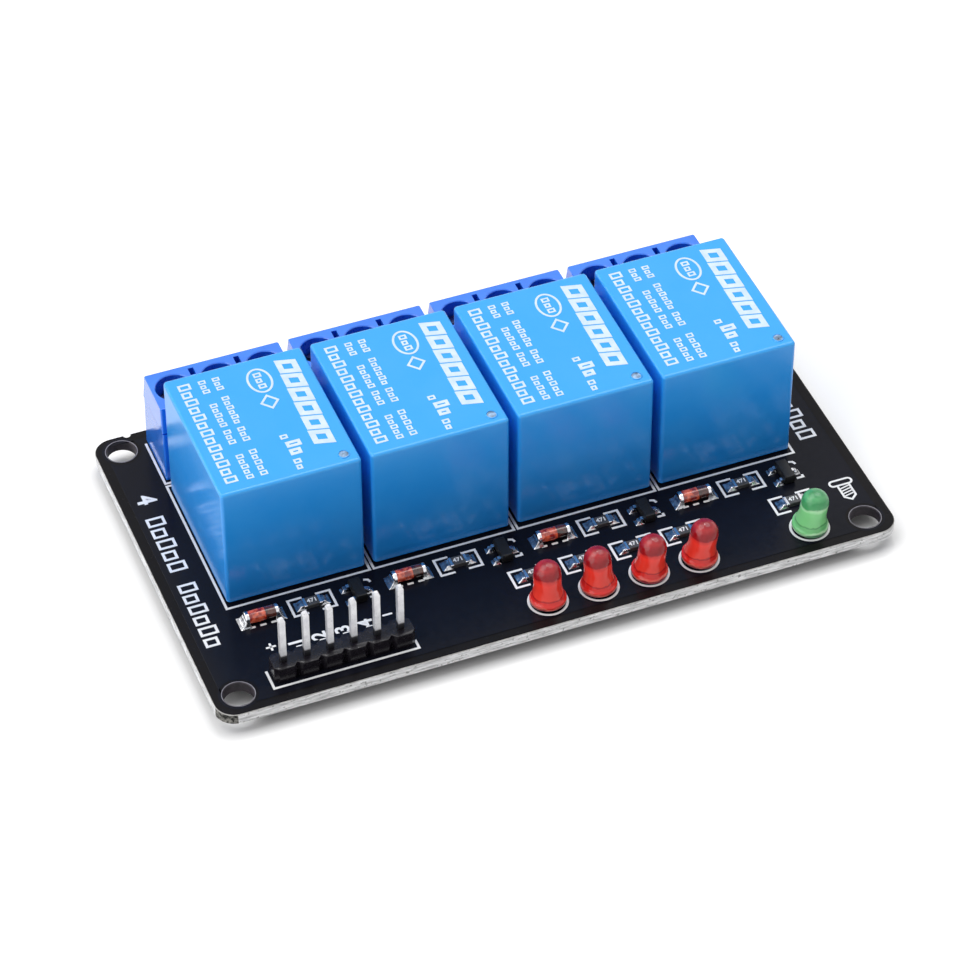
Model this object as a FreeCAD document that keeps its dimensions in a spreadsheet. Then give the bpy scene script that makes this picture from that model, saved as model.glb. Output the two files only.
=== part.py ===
"""Four-channel relay module: a drilled board carrying four sealed relays, four three-pole screw
terminals, a six-pin header, and the small parts that drive each coil and show its state.

Frame: X along the long side, Y from the signal header towards the screw terminals, Z up.
The origin is the centre of the four mounting holes, in the plane of the board's underside.
All lengths are millimetres and all angles are degrees.
"""
import FreeCAD, Part
import math
import os
import re
import Sketcher

CHANNELS = 4
POLES = 3
HEADER_WAYS = 6
WELL_SIDES = 16
THREAD_SIDES = 8
SHANK_SIDES = 8
DIODE_SIDES = 12
VENT_SIDES = 12
LED_SIDES = 20
DOME_STEPS = (0, 30, 60, 84)

SIZES = {
    # printed circuit board
    "board_length": 75.75,
    "board_depth": 43.95,
    "board_shift_x": 0.05,
    "board_shift_y": -0.2,
    "board_thickness": 1.3,
    "board_corner": 2.2,
    "hole_spacing_x": 70.0,
    "hole_spacing_y": 38.8,
    "hole_diameter": 3.2,
    "notch_radius": 0.4,
    "notch_from_hole": 1.35,
    # leads through the board, all trimmed to one level
    "lead_play": 0.1,
    "lead_stub": 1.4,
    "solder_height": 1.0,
    "solder_tip": 0.25,
    "relay_solder_radius": 1.15,
    "terminal_solder_radius": 1.25,
    "header_solder_radius": 0.95,
    "led_solder_radius": 0.85,
    # relay case
    "channel_pitch": 16.2,
    "relay_width": 15.2,
    "relay_length": 18.8,
    "relay_height": 15.4,
    "relay_centre_y": 2.45,
    "relay_standoff": 0.3,
    "relay_foot": 1.6,
    "cover_wall": 0.8,
    "cover_roof": 0.8,
    "cover_corner": 0.4,
    "cover_edge": 0.35,
    "vent_diameter": 1.3,
    "vent_height": 0.12,
    "vent_from_side": 1.5,
    "vent_from_front": 1.35,
    "base_thickness": 1.5,
    # relay pins
    "relay_pin_width": 0.8,
    "relay_pin_thickness": 0.4,
    "coil_pin_spread": 12.0,
    "common_to_coil": 2.0,
    "contact_pin_inset": 1.8,
    "contact_tab_depth": 1.6,
    "contact_tab_thickness": 0.4,
    "contact_tab_reach": 1.0,
    # relay magnet
    "iron_thickness": 1.0,
    "yoke_width": 8.0,
    "yoke_gap": 0.7,
    "yoke_height": 9.6,
    "coil_gap": 0.5,
    "core_side": 2.6,
    "core_gap": 0.6,
    "bobbin_play": 0.05,
    "bobbin_wall": 0.7,
    "bobbin_flange": 0.8,
    "bobbin_width": 11.2,
    "bobbin_depth": 10.4,
    "bobbin_height": 7.6,
    "winding_width": 9.8,
    "winding_depth": 9.0,
    "winding_corner": 2.4,
    "armature_reach": 8.9,
    "armature_travel": 4.4,
    "spring_thickness": 0.2,
    "spring_width": 3.0,
    "spring_tip": 0.1,
    "contact_pad_width": 1.6,
    "contact_pad_depth": 1.2,
    "contact_pad_height": 0.3,
    "contact_gap": 0.05,
    # screw terminal housing, heights from the board's top face, depths from the row of screws
    "terminal_shift_x": -0.1,
    "terminal_row_y": 16.2,
    "pole_pitch": 5.08,
    "housing_end": 2.47,
    "housing_height": 10.2,
    "housing_front": 2.9,
    "housing_top_back": 2.85,
    "ledge_height": 6.6,
    "ledge_back": 3.8,
    "ledge_step": 0.1,
    "ledge_side_step": 0.05,
    "housing_base_back": 4.15,
    "well_diameter": 4.0,
    "slot_width": 0.6,
    "slot_length": 1.1,
    "slot_back": 0.6,
    "slot_depth": 1.8,
    "entry_width": 3.0,
    # clamp cage in each pole
    "cage_floor": 0.7,
    "cage_sheet": 0.4,
    "cage_width": 3.7,
    "cage_depth": 4.2,
    "cage_opening": 3.3,
    "thread_plate": 1.1,
    "cage_play": 0.05,
    "terminal_pin_side": 0.9,
    # clamp screw and the leaf that it presses down
    "screw_head_diameter": 3.6,
    "screw_head_height": 1.5,
    "screw_head_depth": 0.9,
    "screw_slot_width": 0.7,
    "screw_slot_depth": 0.7,
    "screw_diameter": 2.5,
    "thread_play": 0.05,
    "leaf_thickness": 0.3,
    "leaf_play": 0.1,
    # pin header
    "header_centre_x": -23.4,
    "header_row_y": -18.3,
    "header_pitch": 2.54,
    "header_depth": 2.5,
    "header_height": 1.95,
    "header_notch": 0.45,
    "header_pin_side": 0.64,
    "header_pin_rise": 5.95,
    "header_pin_point": 0.35,
    # lamps
    "led_row_y": -18.65,
    "led_first_x": -0.9,
    "led_pitch": 5.7,
    "green_led_x": 28.9,
    "led_radius": 1.47,
    "led_flange_radius": 1.95,
    "led_flange_height": 0.65,
    "led_flare_height": 1.1,
    "led_height": 5.1,
    "led_lead_side": 0.5,
    "led_lead_spread": 2.54,
    "led_lead_bite": 0.5,
    # surface-mount parts
    "diode_shift_x": -5.0,
    "diode_row_y": -10.15,
    "diode_length": 3.7,
    "diode_cap_length": 0.4,
    "diode_radius": 0.7,
    "resistor_shift_x": 0.6,
    "resistor_row_y": -9.95,
    "led_resistor_row_y": -14.5,
    "resistor_length": 2.0,
    "resistor_width": 1.25,
    "resistor_height": 0.5,
    "resistor_end": 0.35,
    "transistor_shift_x": 5.5,
    "transistor_row_y": -10.4,
    "transistor_width": 1.3,
    "transistor_length": 2.9,
    "transistor_height": 1.0,
    "transistor_standoff": 0.1,
    "transistor_lead_reach": 0.6,
    "transistor_lead_width": 0.4,
    "transistor_lead_sheet": 0.15,
    "transistor_lead_spread": 1.9,
}

# each lamp stands a little off the board and leans its own way, as hand fitting leaves it
LED_STANDOFFS = [0.2, 0.2, 0.22, 0.28, 0.27]
LED_LEANS = [-0.3, -2.3, 2.8, 5.5, 4.0]
LED_NODS = [4.2, 3.0, -4.2, -3.6, -4.9]
LED_POSES = list(zip(LED_STANDOFFS, LED_LEANS, LED_NODS))
for lamp, (standoff, lean, nod) in enumerate(LED_POSES, start=1):
    SIZES[f"led_standoff_{lamp}"] = standoff
    SIZES[f"led_lean_{lamp}"] = lean
    SIZES[f"led_nod_{lamp}"] = nod

doc = FreeCAD.newDocument("relay_module")
sheet = doc.addObject("Spreadsheet::Sheet", "Sizes")
for row, (alias, value) in enumerate(SIZES.items(), start=1):
    sheet.set(f"A{row}", alias)
    sheet.set(f"B{row}", str(value))
    sheet.setAlias(f"B{row}", alias)
doc.recompute()

nodes = []


# ---------------------------------------------------------------- helpers

def sized(expression):
    """Write a formula of plain names as a formula of the sheet's cells"""
    def cell(match):
        word = match.group()
        return f"Sizes.{word}" if word in SIZES else word

    return re.sub(r"[a-z][a-z_0-9]*", cell, str(expression))


def bind(item, **formulas):
    """Tie properties of an object to formulas of the sheet's cells"""
    for prop, formula in formulas.items():
        item.setExpression(prop, sized(formula))
    return item


def place(item, x="0", y="0", z="0"):
    """Tie an object's position to the sheet"""
    for axis, formula in zip("xyz", (x, y, z)):
        item.setExpression(f"Placement.Base.{axis}", sized(formula))
    return item


def box(name, length, width, height, x="0", y="0", z="0"):
    """A block centred on x and y, standing on z"""
    item = bind(doc.addObject("Part::Box", name), Length=length, Width=width, Height=height)
    return place(item, f"({x}) - ({length}) / 2", f"({y}) - ({width}) / 2", z)


def prism(name, sides, radius, height, x="0", y="0", z="0"):
    """An upright round bar made of flats, for small or hidden repeats"""
    item = doc.addObject("Part::Prism", name)
    item.Polygon = sides
    bind(item, Circumradius=radius, Height=height)
    return place(item, x, y, z)


def taper(name, half_x, half_y, far_x, far_y, height, z="0", down=False):
    """A four-sided bar that narrows from z, upwards or downwards"""
    item = doc.addObject("Part::Wedge", name)
    turn = -90 if down else 90
    item.Placement.Rotation = FreeCAD.Rotation(FreeCAD.Vector(1, 0, 0), turn)
    bind(item, Xmin=f"-({half_x})", Xmax=half_x, Zmin=f"-({half_y})", Zmax=half_y, Ymin="0",
         Ymax=height, X2min=f"-({far_x})", X2max=far_x, Z2min=f"-({far_y})", Z2max=far_y)
    return place(item, z=z)


def fuse(name, shapes):
    """Join overlapping or touching shapes into one solid"""
    item = doc.addObject("Part::MultiFuse", name)
    item.Shapes = shapes
    item.Refine = True
    return item


def cut(name, base, tool):
    """Take one shape out of another"""
    item = doc.addObject("Part::Cut", name)
    item.Base = base
    item.Tool = tool
    return item


def group(name, items):
    """Keep several solids together, each still its own solid"""
    item = doc.addObject("Part::Compound", name)
    item.Links = items
    return item


def copy_of(name, master, x="0", y="0", z="0"):
    """The same piece again at another place"""
    return place(group(name, [master]), x, y, z)


def copies(name, master, places):
    """A group holding the same piece at each of the places"""
    singles = [copy_of(f"{name}_copy_{i}", master, *spot) for i, spot in enumerate(places, 1)]
    return group(name, singles)


def node(item, label):
    """Name an object as one of the finished pieces"""
    item.Label = label
    nodes.append(item)
    return item


def new_body(name):
    return doc.addObject("PartDesign::Body", name)


def based_on(item):
    """A body that starts from a finished solid"""
    body = new_body(f"{item.Name}_body")
    body.BaseFeature = item
    return body


def new_sketch(body, name, plane, height="0"):
    """A sketch on one of the body's own origin planes, raised along the plane's normal"""
    sketch = body.newObject("Sketcher::SketchObject", name)
    support = next(p for p in body.Origin.OriginFeatures if p.Role == plane)
    sketch.AttachmentSupport = (support, [""])
    sketch.MapMode = "FlatFace"
    sketch.setExpression("AttachmentOffset.Base.z", sized(height))
    return sketch


def pin_point(sketch, geometry, vertex, spot, formulas):
    """Tie one point of a sketch to two formulas, across and up from the sketch's origin"""
    for kind, start, formula in zip(("DistanceX", "DistanceY"), spot, formulas):
        rule = Sketcher.Constraint(kind, -1, 1, geometry, vertex, start)
        index = sketch.addConstraint(rule)
        sketch.setExpression(f"Constraints[{index}]", sized(formula))


def outline(sketch, corners):
    """A closed outline of straight lines through the corners, each tied to the sheet"""
    count = len(corners)
    angles = [2 * math.pi * i / count for i in range(count)]
    spots = [(20 * math.cos(angle), 20 * math.sin(angle)) for angle in angles]
    first = sketch.GeometryCount
    for i in range(count):
        start = FreeCAD.Vector(*spots[i], 0)
        end = FreeCAD.Vector(*spots[(i + 1) % count], 0)
        sketch.addGeometry(Part.LineSegment(start, end), False)
    for i in range(count):
        following = first + (i + 1) % count
        sketch.addConstraint(Sketcher.Constraint("Coincident", first + i, 2, following, 1))
    for i, corner in enumerate(corners):
        pin_point(sketch, first + i, 1, spots[i], corner)


def rectangle(sketch, width, depth, x="0", y="0"):
    """A rectangle centred on x and y"""
    left, right = f"({x}) - ({width}) / 2", f"({x}) + ({width}) / 2"
    low, high = f"({y}) - ({depth}) / 2", f"({y}) + ({depth}) / 2"
    outline(sketch, [(left, low), (right, low), (right, high), (left, high)])


def circle(sketch, radius, x="0", y="0"):
    """A circle tied to the sheet by its centre and radius"""
    ring = Part.Circle(FreeCAD.Vector(1, 1, 0), FreeCAD.Vector(0, 0, 1), 1)
    index = sketch.addGeometry(ring, False)
    pin_point(sketch, index, 3, (1, 1), (x, y))
    rule = sketch.addConstraint(Sketcher.Constraint("Radius", index, 1))
    sketch.setExpression(f"Constraints[{rule}]", sized(radius))


def pad(body, sketch, length, midplane=False):
    """Grow a sketch into a solid"""
    feature = body.newObject("PartDesign::Pad", f"{sketch.Name}_pad")
    feature.Profile = sketch
    feature.SideType = "Symmetric" if midplane else "One side"
    sketch.Visibility = False
    return bind(feature, Length=length)


def pocket(body, sketch, length, upward=False):
    """Cut a sketch into the body, against the plane's normal unless upward"""
    feature = body.newObject("PartDesign::Pocket", f"{sketch.Name}_pocket")
    feature.Profile = sketch
    feature.Reversed = upward
    sketch.Visibility = False
    return bind(feature, Length=length)


def is_upright(edge):
    """Whether an edge is straight and parallel to Z"""
    ends = [vertex.Point for vertex in edge.Vertexes]
    return len(ends) == 2 and math.hypot(ends[0].x - ends[1].x, ends[0].y - ends[1].y) < 1e-6


def dress(body, kind, name, chosen, **formulas):
    """Fillet or chamfer the edges that a test picks from the body as it stands"""
    doc.recompute()
    base = body.Tip
    edges = [f"Edge{i}" for i, edge in enumerate(body.Shape.Edges, 1) if chosen(edge)]
    feature = body.newObject(f"PartDesign::{kind}", name)
    feature.Base = (base, edges)
    bind(feature, **formulas)
    doc.recompute()
    return feature


def bevel(body, name, drop, inset):
    """Slope the edges round a flat top: drop runs down the face below, inset across the top"""
    doc.recompute()
    top = body.Shape.BoundBox.ZMax
    slope = dress(body, "Chamfer", name, lambda edge: edge.BoundBox.ZMin > top - 1e-6, Size=drop)
    slope.ChamferType = "Two distances"
    bind(slope, Size2=inset)
    doc.recompute()


# ---------------------------------------------------------------- places shared by several pieces

def centred(index, count, pitch, centre="0"):
    """Position of one member of an evenly spaced row"""
    return f"({centre}) + {index - (count - 1) / 2} * {pitch}"


CHANNEL_X = [centred(i, CHANNELS, "channel_pitch") for i in range(CHANNELS)]
POLE_X = [centred(i, POLES, "pole_pitch") for i in range(POLES)]
BLOCK_X = [f"({x}) + terminal_shift_x" for x in CHANNEL_X]
CLAMP_X = [f"({block}) + ({pole})" for block in BLOCK_X for pole in POLE_X]
HEADER_X = [centred(i, HEADER_WAYS, "header_pitch", "header_centre_x") for i in range(HEADER_WAYS)]
RED_LED_X = [f"led_first_x + {i} * led_pitch" for i in range(CHANNELS)]
LED_X = RED_LED_X + ["green_led_x"]

BOARD_TOP = "board_thickness"
YOKE_EDGE = "-relay_length / 2 + cover_wall + yoke_gap"
COMMON_PIN_Y = f"{YOKE_EDGE} + iron_thickness / 2"
COIL_PIN_Y = f"{COMMON_PIN_Y} + common_to_coil"
CONTACT_PIN_Y = "relay_length / 2 - cover_wall - contact_pin_inset"
RELAY_PIN_SPOTS = [
    ("0", COMMON_PIN_Y),
    ("-coil_pin_spread / 2", COIL_PIN_Y),
    ("coil_pin_spread / 2", COIL_PIN_Y),
    ("-coil_pin_spread / 2", CONTACT_PIN_Y),
    ("coil_pin_spread / 2", CONTACT_PIN_Y),
]
RELAY_LEADS = [
    (f"({x}) + ({pin_x})", f"relay_centre_y + ({pin_y})")
    for x in CHANNEL_X for pin_x, pin_y in RELAY_PIN_SPOTS
]
TERMINAL_LEADS = [(x, "terminal_row_y") for x in CLAMP_X]
HEADER_LEADS = [(x, "header_row_y") for x in HEADER_X]
LED_LEADS = [
    (f"({x}) + {side} * led_lead_spread / 2", "led_row_y") for x in LED_X for side in (-1, 1)
]
LEAD_FAMILIES = [
    ("relay", RELAY_LEADS, "relay_pin_width", "relay_pin_thickness", "relay_solder_radius"),
    ("terminal", TERMINAL_LEADS, "terminal_pin_side", "terminal_pin_side",
     "terminal_solder_radius"),
    ("header", HEADER_LEADS, "header_pin_side", "header_pin_side", "header_solder_radius"),
    ("led", LED_LEADS, "led_lead_side", "led_lead_side", "led_solder_radius"),
]


# ---------------------------------------------------------------- board

def make_board():
    """The board: rounded corners, four mounting holes, a snap-off notch and every lead's hole"""
    body = new_body("board_body")
    plan = new_sketch(body, "board_plan", "XY_Plane")
    rectangle(plan, "board_length", "board_depth", "board_shift_x", "board_shift_y")
    pad(body, plan, BOARD_TOP)
    dress(body, "Fillet", "board_corners", is_upright, Radius="board_corner")
    drilled = new_sketch(body, "mounting_holes", "XY_Plane", BOARD_TOP)
    for side in (-1, 1):
        for end in (-1, 1):
            circle(drilled, "hole_diameter / 2", f"{side} * hole_spacing_x / 2",
                   f"{end} * hole_spacing_y / 2")
    circle(drilled, "notch_radius", "-hole_spacing_x / 2 + notch_from_hole",
           "board_depth / 2 + board_shift_y")
    pocket(body, drilled, BOARD_TOP)
    holes = []
    for family, leads, width, depth, _ in LEAD_FAMILIES:
        hole = box(f"{family}_hole", f"{width} + 2 * lead_play", f"{depth} + 2 * lead_play",
                   BOARD_TOP)
        holes.append(copies(f"{family}_holes", hole, leads))
    node(cut("board", body, group("lead_holes", holes)), "pcb")


def make_solder():
    """One small pyramid of solder round each lead on the underside"""
    joints = []
    for family, leads, width, depth, radius in LEAD_FAMILIES:
        fillet = taper(f"{family}_solder_fillet", radius, radius, f"{width} / 2 + solder_tip",
                       f"{depth} / 2 + solder_tip", "solder_height", down=True)
        lead = box(f"{family}_solder_lead", width, depth, "lead_stub", z="-lead_stub")
        joint = cut(f"{family}_solder_joint", fillet, lead)
        joints.append(copies(f"{family}_solder", joint, leads))
    node(group("solder", joints), "solder_joints")


# ---------------------------------------------------------------- relays

CAVITY_WIDTH = "relay_width - 2 * cover_wall"
CAVITY_LENGTH = "relay_length - 2 * cover_wall"
BASE_TOP = "relay_standoff + base_thickness"
YOKE_TOP = f"{BASE_TOP} + yoke_height"
FOOT_TOP = f"{BASE_TOP} + iron_thickness"
ARMATURE_TOP = f"{YOKE_TOP} + iron_thickness"
SPRING_TOP = f"{ARMATURE_TOP} + spring_thickness"
CONTACT_Y = f"({CONTACT_PIN_Y}) + relay_pin_thickness / 2 - contact_tab_depth / 2"
HINGE_Y = f"{YOKE_EDGE} + iron_thickness"
COIL_Y = f"{HINGE_Y} + coil_gap + bobbin_depth / 2"
SPRING_LENGTH = f"{CONTACT_Y} + contact_pad_depth / 2 + spring_tip - ({YOKE_EDGE})"
OPEN_TAB_TOP = (
    f"{ARMATURE_TOP} - contact_pad_height - contact_gap"
    f" - (({CONTACT_Y}) + contact_pad_depth / 2 - ({HINGE_Y})) * tan(armature_travel)"
)
CLOSED_TAB_TOP = f"{SPRING_TOP} + contact_pad_height + contact_gap + contact_tab_thickness"


def make_relay_cover():
    """The blue case: an open box with blunted corners and a sealing nib on its roof"""
    body = new_body("cover_body")
    plan = new_sketch(body, "cover_plan", "XY_Plane", "relay_standoff")
    rectangle(plan, "relay_width", "relay_length")
    pad(body, plan, "relay_height - relay_standoff")
    dress(body, "Chamfer", "cover_corners", is_upright, Size="cover_corner")
    bevel(body, "cover_roof_edge", "cover_edge", "cover_edge")
    hollow = new_sketch(body, "cover_hollow", "XY_Plane", "relay_standoff")
    rectangle(hollow, CAVITY_WIDTH, CAVITY_LENGTH)
    pocket(body, hollow, "relay_height - relay_standoff - cover_roof", upward=True)
    nib = prism("cover_nib", VENT_SIDES, "vent_diameter / 2", "vent_height",
                "relay_width / 2 - vent_from_side", "-relay_length / 2 + vent_from_front",
                "relay_height")
    return fuse("cover", [body, nib])


def make_relay_base():
    """The plug that closes the case, on four feet, slotted for the five pins"""
    plate = box("base_plate", CAVITY_WIDTH, CAVITY_LENGTH, "base_thickness", z="relay_standoff")
    feet = [
        box("base_foot", "relay_foot", "relay_foot", "relay_standoff",
            f"{side} * ({CAVITY_WIDTH} - relay_foot) / 2",
            f"{end} * ({CAVITY_LENGTH} - relay_foot) / 2")
        for side in (-1, 1) for end in (-1, 1)
    ]
    slot = box("base_slot", "relay_pin_width", "relay_pin_thickness", BASE_TOP)
    slots = copies("base_slots", slot, RELAY_PIN_SPOTS)
    return cut("relay_base", fuse("base_moulding", [plate] + feet), slots)


def make_relay_pins():
    """Five stamped pins: common, two for the coil, and two that rise to the fixed contacts"""
    foot = f"-{BOARD_TOP} - lead_stub"
    heights = [BASE_TOP, f"{FOOT_TOP} + bobbin_flange", f"{FOOT_TOP} + bobbin_flange",
               OPEN_TAB_TOP, CLOSED_TAB_TOP]
    pins = []
    for (x, y), height in zip(RELAY_PIN_SPOTS, heights):
        pins.append(box("relay_pin", "relay_pin_width", "relay_pin_thickness",
                        f"{height} + {BOARD_TOP} + lead_stub", x, y, foot))
    for side, top in ((-1, OPEN_TAB_TOP), (1, CLOSED_TAB_TOP)):
        reach = "coil_pin_spread / 2 + relay_pin_width / 2 + contact_tab_reach"
        tab = box("contact_tab", reach, "contact_tab_depth", "contact_tab_thickness",
                  f"{side} * (coil_pin_spread / 2 + relay_pin_width / 2 - ({reach}) / 2)",
                  CONTACT_Y, f"{top} - contact_tab_thickness")
        index = 3 if side < 0 else 4
        pins[index] = fuse("contact_pin", [pins[index], tab])
    return group("relay_pin_set", pins)


def make_yoke():
    """The bent iron yoke: a foot under the coil and an upright that carries the armature"""
    body = new_body("yoke_body")
    profile = new_sketch(body, "yoke_profile", "YZ_Plane")
    foot_end = f"{COIL_Y} + core_side"
    outline(profile, [
        (YOKE_EDGE, BASE_TOP), (foot_end, BASE_TOP), (foot_end, FOOT_TOP),
        (HINGE_Y, FOOT_TOP), (HINGE_Y, YOKE_TOP), (YOKE_EDGE, YOKE_TOP),
    ])
    pad(body, profile, "yoke_width", midplane=True)
    return body


def make_bobbin():
    """The coil former: a square tube between two flanges"""
    bore = "core_side + 2 * bobbin_play"
    tube = f"{bore} + 2 * bobbin_wall"
    body = new_body("bobbin_body")
    lower = new_sketch(body, "bobbin_lower", "XY_Plane", FOOT_TOP)
    rectangle(lower, "bobbin_width", "bobbin_depth", y=COIL_Y)
    pad(body, lower, "bobbin_flange")
    stem = new_sketch(body, "bobbin_stem", "XY_Plane", FOOT_TOP)
    rectangle(stem, tube, tube, y=COIL_Y)
    pad(body, stem, "bobbin_height")
    upper = new_sketch(body, "bobbin_upper", "XY_Plane",
                       f"{FOOT_TOP} + bobbin_height - bobbin_flange")
    rectangle(upper, "bobbin_width", "bobbin_depth", y=COIL_Y)
    pad(body, upper, "bobbin_flange")
    passage = new_sketch(body, "bobbin_bore", "XY_Plane", FOOT_TOP)
    rectangle(passage, bore, bore, y=COIL_Y)
    pocket(body, passage, "bobbin_height", upward=True)
    return body


def make_winding():
    """The coil wound on the former, with blunted outer corners"""
    tube = "core_side + 2 * bobbin_play + 2 * bobbin_wall"
    bottom = f"{FOOT_TOP} + bobbin_flange"
    body = new_body("winding_body")
    plan = new_sketch(body, "winding_plan", "XY_Plane", bottom)
    rectangle(plan, "winding_width", "winding_depth", y=COIL_Y)
    pad(body, plan, "bobbin_height - 2 * bobbin_flange")
    dress(body, "Chamfer", "winding_corners", is_upright, Size="winding_corner")
    passage = new_sketch(body, "winding_bore", "XY_Plane", bottom)
    rectangle(passage, tube, tube, y=COIL_Y)
    pocket(body, passage, "bobbin_height - 2 * bobbin_flange", upward=True)
    return body


def make_core():
    """The iron core that stands on the yoke's foot inside the former"""
    return box("core", "core_side", "core_side", f"{YOKE_TOP} - core_gap - ({FOOT_TOP})",
               y=COIL_Y, z=FOOT_TOP)


def make_armature():
    """The iron flap that lies on the yoke's upper edge"""
    return box("armature", "yoke_width", "armature_reach", "iron_thickness",
               y=f"{YOKE_EDGE} + armature_reach / 2", z=YOKE_TOP)


def make_contact_spring():
    """The leaf spring on the armature, with a contact pad on each face near its tip"""
    leaf = box("spring_leaf", "spring_width", SPRING_LENGTH, "spring_thickness",
               y=f"{YOKE_EDGE} + ({SPRING_LENGTH}) / 2", z=ARMATURE_TOP)
    lower = box("spring_pad", "contact_pad_width", "contact_pad_depth", "contact_pad_height",
                y=CONTACT_Y, z=f"{ARMATURE_TOP} - contact_pad_height")
    upper = box("spring_pad", "contact_pad_width", "contact_pad_depth", "contact_pad_height",
                y=CONTACT_Y, z=SPRING_TOP)
    return fuse("contact_spring", [leaf, lower, upper])


def make_relays():
    """Four relays, each case and moving part a piece of its own"""
    spots = [(x, "relay_centre_y", BOARD_TOP) for x in CHANNEL_X]
    for label, master in (
        ("relay_cover", make_relay_cover()),
        ("relay_armature", make_armature()),
        ("contact_spring", make_contact_spring()),
    ):
        for i, spot in enumerate(spots, 1):
            node(copy_of(f"{label}_at_{i}", master, *spot), f"{label}_{i}")
    for label, master in (
        ("relay_bases", make_relay_base()),
        ("relay_pins", make_relay_pins()),
        ("relay_yokes", make_yoke()),
        ("relay_bobbins", make_bobbin()),
        ("relay_windings", make_winding()),
        ("relay_cores", make_core()),
    ):
        node(copies(f"{label}_row", master, spots), label)


# ---------------------------------------------------------------- screw terminals

CAGE_TOP = "cage_floor + cage_sheet + cage_opening + thread_plate"
LEAF_TOP = "cage_floor + cage_sheet + cage_opening"
HEAD_TOP = "housing_height - screw_head_depth"


def make_housing():
    """The blue block: stepped, sloping back, a well over each screw and an entry for each wire"""
    width = f"{POLES - 1} * pole_pitch + 2 * housing_end"
    body = new_body("housing_body")
    lower = new_sketch(body, "housing_lower", "YZ_Plane")
    outline(lower, [
        ("-housing_front", "0"), ("housing_base_back", "0"),
        ("ledge_back - ledge_step", "ledge_height"), ("-housing_front", "ledge_height"),
    ])
    pad(body, lower, f"{width} - 2 * ledge_side_step", midplane=True)
    upper = new_sketch(body, "housing_upper", "YZ_Plane")
    outline(upper, [
        ("-housing_front", "ledge_height"), ("ledge_back", "ledge_height"),
        ("housing_top_back", "housing_height"), ("-housing_front", "housing_height"),
    ])
    pad(body, upper, width, midplane=True)
    chambers = new_sketch(body, "cage_chambers", "XY_Plane", "cage_floor - cage_play")
    for x in POLE_X:
        rectangle(chambers, "cage_width + 2 * cage_play", "cage_depth + 2 * cage_play", x)
    pocket(body, chambers, f"{CAGE_TOP} - cage_floor + 2 * cage_play", upward=True)
    entries = new_sketch(body, "wire_entries", "XZ_Plane")
    for x in POLE_X:
        rectangle(entries, "entry_width", "cage_opening", x,
                  "cage_floor + cage_sheet + cage_opening / 2")
    pocket(body, entries, "housing_base_back")
    slots = new_sketch(body, "top_slots", "XY_Plane", "housing_height")
    for i in range(POLES - 1):
        rectangle(slots, "slot_width", "slot_length", centred(i, POLES - 1, "pole_pitch"),
                  "housing_top_back - slot_back - slot_length / 2")
    pocket(body, slots, "slot_depth")
    pole_spots = [(x,) for x in POLE_X]
    passage = box("pin_passage", "terminal_pin_side", "terminal_pin_side", "cage_floor")
    well = prism("screw_well", WELL_SIDES, "well_diameter / 2", f"housing_height - ({CAGE_TOP})",
                 z=CAGE_TOP)
    openings = [copies("pin_passages", passage, pole_spots), copies("wells", well, pole_spots)]
    return cut("terminal_housing", body, group("pole_openings", openings))


def make_cage():
    """The clamp: a folded cage with a threaded top plate, and the pin that goes to the board"""
    body = new_body("cage_body")
    plan = new_sketch(body, "cage_plan", "XY_Plane", "cage_floor")
    rectangle(plan, "cage_width", "cage_depth")
    pad(body, plan, f"{CAGE_TOP} - cage_floor")
    throat = new_sketch(body, "cage_throat", "XZ_Plane")
    rectangle(throat, "cage_width - 2 * cage_sheet", "cage_opening",
              y="cage_floor + cage_sheet + cage_opening / 2")
    through = pocket(body, throat, "cage_depth")
    through.SideType = "Symmetric"
    bind(through, Length="2 * cage_depth")
    pin = new_sketch(body, "cage_pin", "XY_Plane", f"-{BOARD_TOP} - lead_stub")
    rectangle(pin, "terminal_pin_side", "terminal_pin_side")
    pad(body, pin, f"cage_floor + {BOARD_TOP} + lead_stub")
    thread = prism("cage_thread", THREAD_SIDES, "screw_diameter / 2 + thread_play",
                   "thread_plate", z=LEAF_TOP)
    return cut("cage", body, thread)


def make_screw():
    """A clamp screw with a slotted head, resting on the leaf"""
    head = prism("screw_head", WELL_SIDES, "screw_head_diameter / 2", "screw_head_height",
                 z=f"{HEAD_TOP} - screw_head_height")
    shank = prism("screw_shank", SHANK_SIDES, "screw_diameter / 2 - thread_play",
                  f"{HEAD_TOP} - ({LEAF_TOP})", z=LEAF_TOP)
    slot = box("screw_slot", "screw_slot_width", "screw_head_diameter", "screw_slot_depth",
               z=f"{HEAD_TOP} - screw_slot_depth")
    return cut("terminal_screw", fuse("screw_blank", [head, shank]), slot)


def make_leaf():
    """The plate that the screw presses on to the wire"""
    return box("clamp_leaf", "cage_width - 2 * cage_sheet - 2 * leaf_play", "cage_depth",
               "leaf_thickness", z=f"{LEAF_TOP} - leaf_thickness")


def make_terminals():
    """Four three-pole blocks, each screw and leaf a piece of its own"""
    housing = make_housing()
    for i, x in enumerate(BLOCK_X, 1):
        spot = (x, "terminal_row_y", BOARD_TOP)
        node(copy_of(f"terminal_housing_at_{i}", housing, *spot), f"terminal_housing_{i}")
    spots = [(x, "terminal_row_y", BOARD_TOP) for x in CLAMP_X]
    for label, master in (("terminal_screw", make_screw()), ("clamp_leaf", make_leaf())):
        for i, spot in enumerate(spots, 1):
            node(copy_of(f"{label}_at_{i}", master, *spot), f"{label}_{i}")
    node(copies("clamp_row", make_cage(), spots), "terminal_clamps")


# ---------------------------------------------------------------- pin header

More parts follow.
